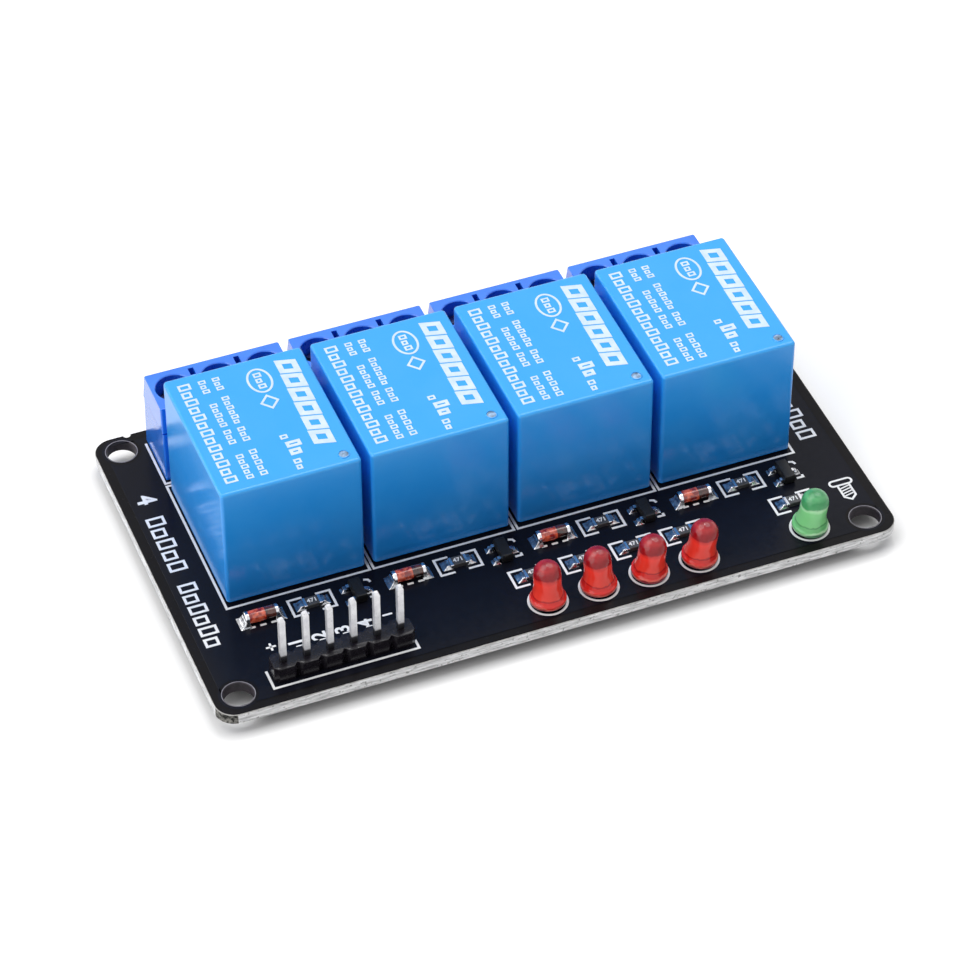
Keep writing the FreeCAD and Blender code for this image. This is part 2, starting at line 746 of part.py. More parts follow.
def make_header():
    """A snap-off strip: one notched segment for each pin, and the square pins themselves"""
    body = new_body("header_body")
    plan = new_sketch(body, "header_plan", "XY_Plane")
    half_x, half_y = "header_pitch / 2", "header_depth / 2"
    near_x, near_y = f"{half_x} - header_notch", f"{half_y} - header_notch"
    outline(plan, [
        (f"-({near_x})", f"-{half_y}"), (near_x, f"-{half_y}"), (half_x, f"-({near_y})"),
        (half_x, near_y), (near_x, half_y), (f"-({near_x})", half_y),
        (f"-{half_x}", near_y), (f"-{half_x}", f"-({near_y})"),
    ])
    rectangle(plan, "header_pin_side", "header_pin_side")
    pad(body, plan, "header_height")
    segments = copies("header_segments", body, [(x, "header_row_y", BOARD_TOP) for x in HEADER_X])
    strip = fuse("header_strip", segments.Links)
    node(strip, "header_insulator")

    rise = "header_height + header_pin_rise - header_pin_point"
    shank = box("header_shank", "header_pin_side", "header_pin_side",
                f"{BOARD_TOP} + lead_stub + {rise}", z=f"-{BOARD_TOP} - lead_stub")
    side, tip = "header_pin_side / 2", "header_pin_side / 4"
    point = taper("header_point", side, side, tip, tip, "header_pin_point", z=rise)
    pin = fuse("header_pin", [shank, point])
    node(copies("header_pin_row", pin, [(x, y, BOARD_TOP) for x, y in HEADER_LEADS]), "header_pins")


# ---------------------------------------------------------------- lamps

def make_lens_blank():
    """A round lamp: domed top, and a skirt that flares to its flange"""
    skirt = based_on(prism("led_skirt", LED_SIDES, "led_flange_radius",
                           "led_flange_height + led_flare_height"))
    bevel(skirt, "led_flare", "led_flare_height",
          f"(led_flange_radius - led_radius) * cos({180 / LED_SIDES})")
    blunt = f"led_radius * sin({DOME_STEPS[-1]})"
    cones = []
    for low, high in zip(DOME_STEPS, DOME_STEPS[1:]):
        lean = f"tan({(low + high) / 2})"
        cone = based_on(prism("led_cone", LED_SIDES, f"led_radius * (cos({low}) + sin({low}) * {lean})",
                              f"led_height - led_radius + {blunt}"))
        bevel(cone, "led_slope", blunt, f"{blunt} * {lean} * cos({180 / LED_SIDES})")
        cones.append(cone)
    dome = doc.addObject("Part::MultiCommon", "led_dome")
    dome.Shapes = cones
    return fuse("led_blank", [skirt, dome])


def make_lamps():
    """Four red lamps and a green one, each leaning in its own way over its two upright leads"""
    blank = make_lens_blank()
    leads = []
    for i, x in enumerate(LED_X, 1):
        for side in (-1, 1):
            leads.append(box("led_lead", "led_lead_side", "led_lead_side",
                             f"lead_stub + {BOARD_TOP} + led_standoff_{i} + led_lead_bite",
                             f"({x}) + {side} * led_lead_spread / 2", "led_row_y", "-lead_stub"))
    lenses = []
    for i, x in enumerate(LED_X, 1):
        nodding = copy_of(f"led_blank_nod_{i}", blank)
        nodding.Placement.Rotation = FreeCAD.Rotation(FreeCAD.Vector(-1, 0, 0), 1)
        nodding.setExpression("Placement.Rotation.Angle", sized(f"led_nod_{i} * 1deg"))
        leaning = copy_of(f"led_blank_at_{i}", nodding, x, "led_row_y",
                          f"{BOARD_TOP} + led_standoff_{i}")
        leaning.Placement.Rotation = FreeCAD.Rotation(FreeCAD.Vector(0, 1, 0), 1)
        leaning.setExpression("Placement.Rotation.Angle", sized(f"led_lean_{i} * 1deg"))
        pair = group(f"led_lead_pair_{i}", leads[2 * i - 2:2 * i])
        lenses.append(cut(f"led_lens_{i}", leaning, pair))
    node(group("red_lenses", lenses[:-1]), "red_led_lenses")
    node(lenses[-1], "green_led_lens")
    node(group("led_lead_row", leads), "led_leads")


# ---------------------------------------------------------------- surface-mount parts

def make_diodes():
    """Glass diodes lying along X between two metal end caps"""
    def lying(name, start, length):
        bar = prism(name, DIODE_SIDES, "diode_radius", length, start, z="diode_radius")
        bar.Placement.Rotation = FreeCAD.Rotation(FreeCAD.Vector(0, 1, 0), 90)
        return bar

    glass = lying("diode_tube", "-diode_length / 2 + diode_cap_length",
                  "diode_length - 2 * diode_cap_length")
    caps = group("diode_cap_pair", [
        lying("diode_cap", start, "diode_cap_length")
        for start in ("-diode_length / 2", "diode_length / 2 - diode_cap_length")
    ])
    spots = [(f"({x}) + diode_shift_x", "diode_row_y", BOARD_TOP) for x in CHANNEL_X]
    node(copies("diode_glass_row", glass, spots), "diode_glass")
    node(copies("diode_cap_row", caps, spots), "diode_caps")


def make_resistors():
    """Chip resistors: one for each transistor and one for each lamp"""
    middle = "resistor_length - 2 * resistor_end"
    body = box("resistor", middle, "resistor_width", "resistor_height")
    ends = group("resistor_end_pair", [
        box("resistor_end", "resistor_end", "resistor_width", "resistor_height",
            f"{side} * (resistor_length - resistor_end) / 2")
        for side in (-1, 1)
    ])
    spots = [(f"({x}) + resistor_shift_x", "resistor_row_y", BOARD_TOP) for x in CHANNEL_X]
    spots += [(x, "led_resistor_row_y", BOARD_TOP) for x in LED_X]
    node(copies("resistor_row", body, spots), "resistor_bodies")
    node(copies("resistor_end_row", ends, spots), "resistor_ends")


def make_transistors():
    """Small three-lead transistors with bent leads, two on the left and one on the right"""
    body = box("transistor", "transistor_width", "transistor_length", "transistor_height",
               z="transistor_standoff")
    lead_body = new_body("transistor_lead")
    profile = new_sketch(lead_body, "transistor_lead_profile", "XZ_Plane")
    inner, outer = "transistor_width / 2", "transistor_width / 2 + transistor_lead_reach"
    bend, sheet_z = "transistor_lead_reach / 3", "transistor_lead_sheet"
    knee = "transistor_standoff + transistor_height / 2"
    outline(profile, [
        (f"{inner} + {bend}", "0"), (outer, "0"), (outer, sheet_z),
        (f"{inner} + {bend} + {sheet_z}", sheet_z), (f"{inner} + {bend} + {sheet_z}", knee),
        (inner, knee), (inner, f"{knee} - {sheet_z}"), (f"{inner} + {bend}", f"{knee} - {sheet_z}"),
    ])
    pad(lead_body, profile, "transistor_lead_width", midplane=True)
    right = copy_of("transistor_right_lead", lead_body)
    lefts = []
    for side in (-1, 1):
        left = copy_of("transistor_left_lead", lead_body, y=f"{side} * transistor_lead_spread / 2")
        left.Placement.Rotation = FreeCAD.Rotation(FreeCAD.Vector(0, 0, 1), 180)
        lefts.append(left)
    leads = group("transistor_lead_set", [right] + lefts)
    spots = [(f"({x}) + transistor_shift_x", "transistor_row_y", BOARD_TOP) for x in CHANNEL_X]
    node(copies("transistor_row", body, spots), "transistor_bodies")
    node(copies("transistor_lead_row", leads, spots), "transistor_leads")


make_board()
make_solder()
make_relays()
make_terminals()
make_header()
make_lamps()
make_diodes()
make_resistors()
make_transistors()
doc.recompute()

for item in doc.Objects:
    if "Invalid" in item.State or "Error" in item.State:
        raise RuntimeError(f"{item.Name} did not build: {item.State}")
for item in nodes:
    if item.Shape.isNull() or not item.Shape.isValid() or not item.Shape.Solids:
        raise RuntimeError(f"{item.Label} has no valid solid")

os.makedirs("parts", exist_ok=True)
for item in nodes:
    item.Shape.exportStep(os.path.join("parts", f"{item.Label}.step"))
print(f"{len(nodes)} pieces written")
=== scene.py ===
"""The looks of a four-channel relay board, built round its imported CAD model.

Sizes are in millimetres up to the moment when a piece is made, and in metres from there on.
The frame is the CAD's: X along the long side, Y towards the screw terminals, Z up.
"""

import math

import bmesh
import bpy
import numpy as np
from mathutils import Matrix, Vector
from mathutils.geometry import tessellate_polygon


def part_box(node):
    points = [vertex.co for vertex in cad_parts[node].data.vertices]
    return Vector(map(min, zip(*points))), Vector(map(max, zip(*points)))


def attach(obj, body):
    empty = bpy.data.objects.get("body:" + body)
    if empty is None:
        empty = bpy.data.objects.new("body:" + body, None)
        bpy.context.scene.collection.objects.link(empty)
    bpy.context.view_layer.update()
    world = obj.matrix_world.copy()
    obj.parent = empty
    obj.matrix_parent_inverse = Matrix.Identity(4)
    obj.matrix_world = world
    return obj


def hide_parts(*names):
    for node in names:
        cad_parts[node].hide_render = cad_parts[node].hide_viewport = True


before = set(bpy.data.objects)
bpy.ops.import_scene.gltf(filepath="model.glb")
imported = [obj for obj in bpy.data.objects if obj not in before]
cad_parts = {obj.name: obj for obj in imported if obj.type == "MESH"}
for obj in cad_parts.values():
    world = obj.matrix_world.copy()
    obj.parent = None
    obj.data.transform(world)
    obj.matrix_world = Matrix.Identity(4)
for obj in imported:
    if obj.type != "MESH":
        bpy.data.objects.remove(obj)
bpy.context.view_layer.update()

MM = 0.001
CHANNELS = range(1, 5)
POLES_EACH = 3
POLES = range(1, 13)
QUARTERS = ((1, 1), (-1, 1), (-1, -1), (1, -1))

# circuit board
BOARD_CORNER = 2.2
BOARD_CORNER_STEPS = 10
BOARD_RIM = 0.07
PITTED_CORNER = 0.8 * BOARD_CORNER
HOLES = [(side * 35.0, end * 19.4) for side in (-1, 1) for end in (-1, 1)]
HOLE_RADIUS = 1.6
HOLE_SIDES = 64
NOTCH_X = -33.65
NOTCH_RADIUS = 0.4
NOTCH_STEPS = 8
POUR_RISE = 0.012
POUR_INSET = 1.15
POUR_HOLE_GAP = 0.5

# print
INK = 0.03
LINE = 0.27
BOX_SHARE = 0.38
BOX_DROP = 0.22
FIGURE_SHARE = 0.69
FIGURE_WEIGHT = 0.035

# relay case
COVER_CORNER = 0.4
COVER_EDGE = 0.35
COVER_EDGE_STEPS = 6
COVER_WALL = 0.8
COVER_ROOF = 0.8
COVER_INNER_CORNER = 0.05
NIB_RISE = 0.12
VENT_SIDES = 32
VENT_RADIUS = 0.65
VENT_LIP = 0.15
VENT_FROM_RIGHT = 1.5
VENT_FROM_FRONT = 1.35

# terminal block
HOUSING_STEP = 0.05
HOUSING_EDGE = 0.1
HOUSING_CORNER = 0.2
HOUSING_GROOVE = 0.2
LEDGE_HEIGHT = 6.6
LEDGE_BACK = 3.8
LEDGE_SETBACK = 0.1
TOP_BACK = 2.85
WELL_RADIUS = 2.0
WELL_CHAMFER = 0.1
WELL_SIDES = 64
CAGE_LIFT = 0.7
CAGE_GAP = 0.05
CAGE_HALF_X = 1.9
CAGE_HALF_Y = 2.15
ENTRY_WIDTH = 3.0
ENTRY_LOW = 1.1
ENTRY_HIGH = 4.4
SLOT_WIDTH = 0.6
SLOT_LENGTH = 1.1
SLOT_DEPTH = 1.8
SLOT_BACK = 0.6

# clamp screw
SCREW_DROP = 0.75
SCREW_TURN = 37
SCREW_HEAD = 1.5
RECESS_HALF = 0.32
RECESS_DEPTH = 0.45
THREAD_PITCH = 0.45
THREAD_CREST = 1.25
THREAD_DEPTH = 0.2
THREAD_SIDES = 24
THREAD_STEPS = 4

# header strip
HEADER_NOTCH = 0.45
HEADER_EDGE = 0.09

# lamps
LENS_RADIUS = 1.47
LENS_SIDES = 56
FLANGE_RADIUS = 1.95
FLANGE_SHOULDER = 0.14
FLANGE_HEIGHT = 0.6
FLARE_HEIGHT = 1.6
FLARE_STEPS = 8
FLARE_BEND = 1.5
DOME_STEPS = 14

# surface-mount parts and solder
DIODE_CAP_LENGTH = 0.4
DIODE_STRIPE_END = 0.22
RESISTOR_END_HALF = 0.175
CONE_FOOT = 0.04
CONE_STEPS = 7
CONE_TIP = 0.42
CONE_SIDES = 28


# ---- where the CAD's solids are

def box_mm(node):
    """Lowest and highest corner of a CAD node, in millimetres"""
    low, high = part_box(node)
    return low / MM, high / MM


def loose_parts(node):
    """The corner points, in millimetres, of each separate solid in a CAD node, left to right"""
    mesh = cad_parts[node].data
    keys = [tuple(round(c / MM, 3) for c in v.co) for v in mesh.vertices]
    groups = []
    for face in mesh.polygons:
        group = {keys[index] for index in face.vertices}
        touching = [other for other in groups if other & group]
        groups = [other for other in groups if not other & group] + [group.union(*touching)]
    parts = [np.array(sorted(group)) for group in groups]
    return sorted(parts, key=lambda part: (round(part[:, 0].mean(), 1), round(part[:, 1].mean(), 1)))


def middle(part):
    """Centre of a solid's box"""
    return (part.min(0) + part.max(0)) / 2


def half_size(part):
    """Half the length, depth and height of a solid's box"""
    return (part.max(0) - part.min(0)) / 2


def axis_of(part):
    """The foot, direction and length of a round solid, from the spread of its corner points"""
    centre = part.mean(0)
    directions = np.linalg.eigh(np.cov((part - centre).T))[1].T
    direction = max(directions, key=lambda vector: abs(vector[2]))
    direction = direction * math.copysign(1.0, direction[2])
    along = (part - centre) @ direction
    return centre + direction * along.min(), direction, along.max() - along.min()


PCB_LOW, PCB_HIGH = box_mm("pcb")
PCB_MIDDLE = (PCB_LOW + PCB_HIGH) / 2
PCB_HALF = (PCB_HIGH - PCB_LOW) / 2
TOP = PCB_HIGH.z
PIN_TIP = box_mm("header_pins")[0].z
COVERS = {i: box_mm(f"relay_cover_{i}") for i in CHANNELS}
CHANNEL_X = {i: (low.x + high.x) / 2 for i, (low, high) in COVERS.items()}
RELAY_Y = (COVERS[1][0].y + COVERS[1][1].y) / 2
ROOF = COVERS[1][1].z - NIB_RISE


# ---- flat outlines and solids

def rounded(x, y, half_x, half_y, radius, steps=6):
    """A rectangle with round corners, anticlockwise from its right side"""
    points = []
    for corner, (side, end) in enumerate(QUARTERS):
        for step in range(steps + 1):
            angle = math.radians(90) * (corner + step / steps)
            points.append((x + side * (half_x - radius) + radius * math.cos(angle),
                           y + end * (half_y - radius) + radius * math.sin(angle)))
    return points


def disc(x, y, radius, sides, squash=1.0):
    """A circle, or an ellipse that is longer along Y"""
    turns = [2 * math.pi * i / sides for i in range(sides)]
    return [(x + radius * math.cos(t), y + radius * squash * math.sin(t)) for t in turns]


def turned(points, angle, x, y):
    """Points turned about the origin by an angle in degrees, then shifted"""
    c, s = math.cos(math.radians(angle)), math.sin(math.radians(angle))
    return [(x + px * c - py * s, y + px * s + py * c) for px, py in points]


def offset(points, distance, closed=True):
    """A line moved to its right by a distance, with mitred corners: outwards if anticlockwise"""
    spots = np.array(points)
    ahead = np.roll(spots, -1, axis=0) - spots
    after = np.stack([ahead[:, 1], -ahead[:, 0]], axis=1) / np.hypot(*ahead.T)[:, None]
    before = np.roll(after, 1, axis=0)
    if not closed:
        before[0] = after[0]
        after[-1] = before[-1]
    mitre = (before + after) / 2
    return (spots + distance * mitre / (mitre ** 2).sum(axis=1)[:, None]).tolist()


def cap(bm, loops):
    """Closes one level of a stack, leaving its holes open"""
    flat = [vertex for loop in loops for vertex in loop]
    for triangle in tessellate_polygon([[v.co for v in loop] for loop in loops]):
        bm.faces.new([flat[i] for i in triangle])


def bridge(bm, lower, upper, material=0):
    """Walls between two rings of corners, one above the other; either may be a single point"""
    count = max(len(lower), len(upper))
    for i in range(count):
        j = (i + 1) % count
        corners = [lower[i % len(lower)], lower[j % len(lower)],
                   upper[j % len(upper)], upper[i % len(upper)]]
        bm.faces.new(list(dict.fromkeys(corners))).material_index = material


def stack(bm, levels, ends=(True, True)):
    """Walls between outlines of equal length, one above the next: (height, [outer, hole, ...])"""
    rows = [[[bm.verts.new((x, y, z)) for x, y in loop] for loop in loops] for z, loops in levels]
    for lower, upper in zip(rows, rows[1:]):
        for below, above in zip(lower, upper):
            bridge(bm, below, above)
    for row, wanted in zip((rows[0], rows[-1]), ends):
        if wanted:
            cap(bm, row)
    return rows


def lathe(bm, profile, place=Matrix(), sides=48, material=0):
    """A solid turned about Z from (radius, height) pairs; an end of no radius is a point"""
    rows = []
    for radius, height in profile:
        turns = [2 * math.pi * i / sides for i in range(sides if radius else 1)]
        rows.append([bm.verts.new(place @ Vector((radius * math.cos(t), radius * math.sin(t), height)))
                     for t in turns])
    for lower, upper in zip(rows, rows[1:]):
        bridge(bm, lower, upper, material)
    for row in (rows[0], rows[-1]):
        if len(row) > 1:
            bm.faces.new(row).material_index = material


def block(bm, low, high):
    """A plain box between two corners, used as a cutter"""
    x, y = (low[0] + high[0]) / 2, (low[1] + high[1]) / 2
    half_x, half_y = (high[0] - low[0]) / 2, (high[1] - low[1]) / 2
    corners = [(x + side * half_x, y + end * half_y) for side, end in QUARTERS]
    stack(bm, [(low[2], [corners]), (high[2], [corners])])


def as_object(name, bm):
    """A mesh object in metres from a bmesh in millimetres"""
    bmesh.ops.recalc_face_normals(bm, faces=bm.faces[:])
    mesh = bpy.data.meshes.new(name)
    bm.to_mesh(mesh)
    bm.free()
    mesh.transform(Matrix.Scale(MM, 4))
    made = bpy.data.objects.new(name, mesh)
    bpy.context.scene.collection.objects.link(made)
    return made


def settled_mesh(made):
    """The mesh that an object has once its modifiers or letters are worked out"""
    bpy.context.view_layer.update()
    return bpy.data.meshes.new_from_object(
        made.evaluated_get(bpy.context.evaluated_depsgraph_get()))


def carve(made, cutters):
    """Takes the solids in a bmesh out of an object"""
    tool = as_object("cutters", cutters)
    cut = made.modifiers.new("carve", "BOOLEAN")
    cut.operation = "DIFFERENCE"
    cut.solver = "EXACT"
    cut.use_self = True
    cut.object = tool
    made.data = settled_mesh(made)
    made.modifiers.clear()
    bpy.data.objects.remove(tool)


def finish_piece(made, materials, body="board", stands_for=(), crease=35):
    """Gives a piece its materials, its shading and the body that it rides on"""
    for material in materials:
        made.data.materials.append(material)
    made.data.shade_smooth()
    made.data.set_sharp_from_angle(angle=math.radians(crease))
    made.modifiers.new("even_shading", "WEIGHTED_NORMAL").keep_sharp = True
    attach(made, body)
    if stands_for:
        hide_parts(*stands_for)


# ---- materials

MIX_FROM, MIX_TO, MIX_COLOUR = 6, 7, 2
NOISE_SPAN = (0.3, 0.7)


def linear(red, green, blue):
    """A colour given in 0-255 screen values"""
    values = [channel / 255 for channel in (red, green, blue)]
    return [v / 12.92 if v <= 0.04045 else ((v + 0.055) / 1.055) ** 2.4 for v in values] + [1.0]


def feed(tree, socket, source):
    """Gives a socket another node's output, or a plain value"""
    if isinstance(source, bpy.types.NodeSocket):
        tree.links.new(source, socket)
    else:
        socket.default_value = source


def new_node(tree, kind, inputs, **settings):
    """A shader node with what each of its inputs gets, and its settings"""
    made = tree.nodes.new("ShaderNode" + kind)
    for key, value in settings.items():
        setattr(made, key, value)
    for key, source in inputs.items():
        feed(tree, made.inputs[key], source)
    return made


class Finish:
    """A material whose colour, roughness and relief all come from patterns in the piece's own space"""

    def __init__(self, name, **shader):
        self.material = bpy.data.materials.new(name)
        self.material.use_nodes = True
        self.tree = self.material.node_tree
        self.shader = self.tree.nodes["Principled BSDF"]
        for key, value in shader.items():
            socket = key.replace("_", " ").title().replace("Ior", "IOR")
            self.shader.inputs[socket].default_value = value
        self.place = self.node("TexCoord", {}).outputs["Object"]

    def node(self, kind, inputs, **settings):
        return new_node(self.tree, kind, inputs, **settings)

    def noise(self, size, detail=3.0, stretch=(1.0, 1.0, 1.0)):
        """A noise whose features are about size millimetres across"""
        scale = [s / (size * MM) for s in stretch]
        scaled = self.node("Mapping", {"Vector": self.place, "Scale": scale})
        return self.node("TexNoise", {
            "Vector": scaled.outputs["Vector"], "Scale": 1.0, "Detail": detail}).outputs["Fac"]

    def spread(self, value, low, high, to_low=0.0, to_high=1.0):
        """A value between low and high, stretched to another span"""
        return self.node("MapRange", {
            "Value": value, "From Min": low, "From Max": high,
            "To Min": to_low, "To Max": to_high}).outputs["Result"]

    def vary(self, noise, to_low=0.0, to_high=1.0):
        """A noise's usual span, stretched to another"""
        return self.spread(noise, *NOISE_SPAN, to_low, to_high)

    def height(self, low, high):
        """Nought to one as Z goes from low to high, in millimetres"""
        parts = self.node("SeparateXYZ", {0: self.place})
        return self.spread(parts.outputs["Z"], low * MM, high * MM)

    def blend(self, factor, one, other, kind="MIX"):
        """One colour at nought, the other at one"""
        return self.node("Mix", {"Factor": factor, MIX_FROM: one, MIX_TO: other},
                         data_type="RGBA", blend_type=kind).outputs[MIX_COLOUR]

    def ramp(self, value, stops):
        """Colours along a value, from (place, colour) pairs that run from nought to one"""
        graded = self.node("ValToRGB", {"Fac": value})
        marks = graded.color_ramp.elements
        ends = (marks[0], marks[-1])
        for mark, (place, colour) in zip(ends, (stops[0], stops[-1])):
            mark.position = place
            mark.color = linear(*colour)
        for place, colour in stops[1:-1]:
            marks.new(place).color = linear(*colour)
        return graded.outputs["Color"]

    def dress(self, colour, roughness, pattern, relief):
        """Joins the patterns to the shader; relief is in millimetres"""
        bump = self.node("Bump", {"Distance": relief * MM, "Height": pattern})
        for key, source in (("Base Color", colour), ("Roughness", roughness),
                            ("Normal", bump.outputs["Normal"])):
            feed(self.tree, self.shader.inputs[key], source)
        return self.material


def mottled(name, colour, other, roughness, patch=3.0, grain=0.25, relief=0.004, **shader):
    """Two near colours in soft patches, with a fine grain that also varies the gloss

    The patches' and grain's sizes and the relief's height are in millimetres.
    """
    made = Finish(name, **shader)
    patches = made.vary(made.noise(patch))
    fine = made.noise(grain)
    shine = made.vary(fine, roughness * 0.8, roughness * 1.25)
    return made.dress(made.blend(patches, linear(*colour), linear(*other)), shine, fine, relief)


def make_fibre(name, pale, dark, wear):
    """The sawn edge of the board: woven glass in thin layers, with dark pits and streaks"""
    made = Finish(name, specular_ior_level=0.25)
    layers = made.noise(0.2, detail=4.0, stretch=(0.1, 0.1, 0.8))
    pits = made.noise(0.35, detail=5.0)
    streaks = made.spread(layers, 0.35, 0.65)
    pitting = made.spread(pits, 0.62 - 0.25 * wear, 0.75 - 0.2 * wear)
    streaked = made.blend(streaks, linear(*pale), linear(*[c * 0.76 for c in pale]))
    return made.dress(made.blend(pitting, streaked, linear(*dark)), 0.75, layers, 0.05)


def make_winding():
    """Rows of fine enamelled wire"""
    made = Finish("winding_copper", metallic=0.85)
    rows = made.node("TexWave", {"Vector": made.place, "Scale": 1500.0, "Distortion": 1.5},
                     wave_type="BANDS", bands_direction="Z").outputs["Fac"]
    shade = made.blend(rows, linear(120, 54, 28), linear(206, 112, 62))
    return made.dress(shade, 0.35, rows, 0.05)


def make_lens(name, tints_and_painted_light):
    """Tinted resin, what shows through it, and painted light: (height over the board, colour), foot to
    dome
    """
    made = Finish(name, subsurface_weight=0.2, transmission_weight=0.06, ior=1.5,
                  specular_ior_level=0.35, coat_weight=0.2, coat_roughness=0.04)
    made.shader.inputs["Subsurface Radius"].default_value = (1.0, 0.6, 0.6)
    made.shader.inputs["Subsurface Scale"].default_value = 0.4 * MM
    tall = tints_and_painted_light[-1][0]
    cloud = made.noise(1.1)
    wavy = made.node("Math", {0: made.height(TOP, TOP + tall), 1: made.vary(cloud, -0.025, 0.025)},
                     operation="ADD").outputs[0]
    shade = made.ramp(wavy, [(height / tall, colour) for height, colour in tints_and_painted_light])
    return made.dress(shade, made.vary(cloud, 0.1, 0.18), cloud, 0.002)


def make_case_plastic():
    """Glossy blue plastic, with painted shade that darkens the case's walls towards its open foot and
    a painted lighter band at the roof
    """
    made = Finish("relay_blue", specular_ior_level=0.5, coat_weight=0.1, coat_roughness=0.12)
    clouds = made.noise(4.0)
    fine = made.noise(0.3)
    # painted shade: the blue darkens down the walls towards the board, and the roof is painted a
    # little lighter
    painted_shade_by_height = made.ramp(made.height(TOP, ROOF), ((0.0, (30, 140, 232)), (0.96, (42, 162, 252)),
                                              (1.0, (46, 173, 255))))
    paler = made.blend(made.vary(clouds, 0.0, 0.12), painted_shade_by_height, linear(96, 190, 255))
    return made.dress(paler, made.vary(fine, 0.16, 0.25), fine, 0.0025)


def make_pin_metal():
    """Tinned pins, with painted shade that darkens them where they go into the plastic"""
    made = Finish("pin_metal", metallic=0.4)
    clean = made.blend(made.vary(made.noise(0.8)), linear(250, 250, 252), linear(226, 226, 230))
    # painted shade: the pins turn dark towards where they go into the header's plastic
    marks = made.ramp(made.height(TOP + 1.9, TOP + 3.1), (
        (0.0, (34, 34, 38)), (0.62, (60, 60, 64)), (0.8, (255, 255, 255)), (1.0, (255, 255, 255))))
    fine = made.noise(0.12)
    painted_shade_at_foot = made.blend(1.0, clean, marks, "MULTIPLY")
    return made.dress(painted_shade_at_foot, made.vary(fine, 0.26, 0.38), fine, 0.002)


def make_diode_glass(name, colour, other):
    """Glass in noisy patches of two colours: the colour of what it is sealed round, and on the red
    tube painted highlights
    """
    made = Finish(name, transmission_weight=0.05, coat_weight=1.0, coat_roughness=0.03)
    cloud = made.noise(0.7)
    shade = made.blend(made.spread(cloud, 0.42, 0.6), linear(*colour), linear(*other))
    return made.dress(shade, 0.12, cloud, 0.01)


MASK = mottled("solder_mask", (17, 16, 18), (23, 21, 24), 0.22, 9.0, 0.5, 0.003,
               specular_ior_level=0.1)
POUR = mottled("solder_mask_on_copper", (16, 18, 27), (20, 21, 31), 0.2, 9.0, 0.5, 0.003,
               specular_ior_level=0.12)
FIBRE = make_fibre("board_edge", (250, 250, 251), (130, 129, 128), 0.1)
CORNER = make_fibre("board_corner", (150, 148, 142), (30, 32, 30), 0.9)
RIM = mottled("board_rim", (206, 205, 202), (150, 148, 146), 0.5, 0.8)
HOLE_WALL = mottled("hole_wall", (52, 44, 54), (28, 24, 32), 0.5, 0.6, 0.12, 0.01)
HOLE_RING = mottled("hole_ring", (150, 148, 156), (112, 108, 118), 0.4, 0.6, 0.1)
SILK = mottled("silkscreen_ink", (252, 252, 252), (236, 237, 240), 0.55, 1.0, 0.1, 0.006)
RELAY_BLUE = make_case_plastic()
# The vent's scar: a dark speck, with near-white patches that are painted highlights
VENT_SCAR_AND_PAINTED_HIGHLIGHT = mottled("vent_scar_and_painted_highlight", (0, 14, 44), (176, 212, 250), 0.35, 0.6, 0.12, 0.03)
ROOF_INK = mottled("roof_ink", (226, 242, 252), (205, 228, 246), 0.5, 1.0, 0.12)
TERMINAL_BLUE = mottled("terminal_blue", (36, 134, 253), (28, 122, 242), 0.2, 3.0, 0.25, 0.003,
                        coat_weight=0.8, coat_roughness=0.1)
# darker blue as painted shade inside the wells, seats, entries and slots, and in the groove
TERMINAL_PAINTED_SHADE = mottled("terminal_blue_painted_shade", (24, 106, 226), (18, 92, 206), 0.3)
BLACK_PLASTIC = mottled("black_plastic", (20, 17, 23), (27, 24, 31), 0.24, 1.5, 0.5, 0.001,
                        specular_ior_level=0.3)
FORMER = mottled("former_plastic", (214, 208, 190), (198, 190, 170), 0.45, 2.0)
WINDING = make_winding()
IRON = mottled("iron", (168, 168, 170), (140, 139, 140), 0.4, 1.2, 0.15, 0.006, metallic=1.0)
BRONZE = mottled("spring_bronze", (206, 160, 98), (184, 136, 78), 0.3, 1.5, 0.1, 0.003,
                 metallic=1.0)
TINNED = mottled("tinned_metal", (236, 236, 240), (206, 207, 214), 0.16, 0.8, 0.12, 0.002,
                 metallic=1.0)
# darker, bluer steel than the clamps: painted shade of the deep wells and a painted reflection of the
# blue block
SCREW_STEEL_PAINTED_SHADE = mottled("screw_steel_painted_shade", (112, 116, 150), (78, 82, 112), 0.3, 1.0, 0.1, 0.005,
                      metallic=1.0)
PIN_METAL = make_pin_metal()
STEEL = mottled("plated_steel", (196, 196, 204), (160, 162, 172), 0.26, 1.0, 0.1, 0.005,
                metallic=1.0)
# painted shade at the foot, and painted highlights as the pale band at the flange's rim and the
# lighter band near the dome's top; the other bands are the resin's tint and what shows through it
RED_LENS = make_lens("red_lens", (
    (0.0, (110, 30, 56)), (0.42, (160, 34, 50)), (0.6, (240, 112, 96)), (0.78, (236, 48, 42)),
    (1.22, (238, 46, 40)), (1.34, (186, 22, 28)), (1.48, (252, 66, 50)), (3.3, (255, 62, 48)),
    (3.75, (228, 50, 44)), (3.95, (158, 20, 26)), (4.6, (160, 20, 30)), (5.0, (190, 50, 54)),
    (5.4, (146, 18, 38))))
GREEN_LENS = make_lens("green_lens", (
    (0.0, (56, 116, 80)), (0.42, (84, 150, 104)), (0.6, (190, 240, 190)), (0.78, (128, 214, 138)),
    (1.22, (126, 212, 138)), (1.34, (92, 172, 106)), (1.48, (142, 228, 150)), (3.4, (144, 232, 152)),
    (3.72, (190, 246, 192)), (3.95, (84, 176, 112)), (4.6, (66, 160, 98)), (5.0, (104, 188, 126)),
    (5.4, (60, 144, 92))))
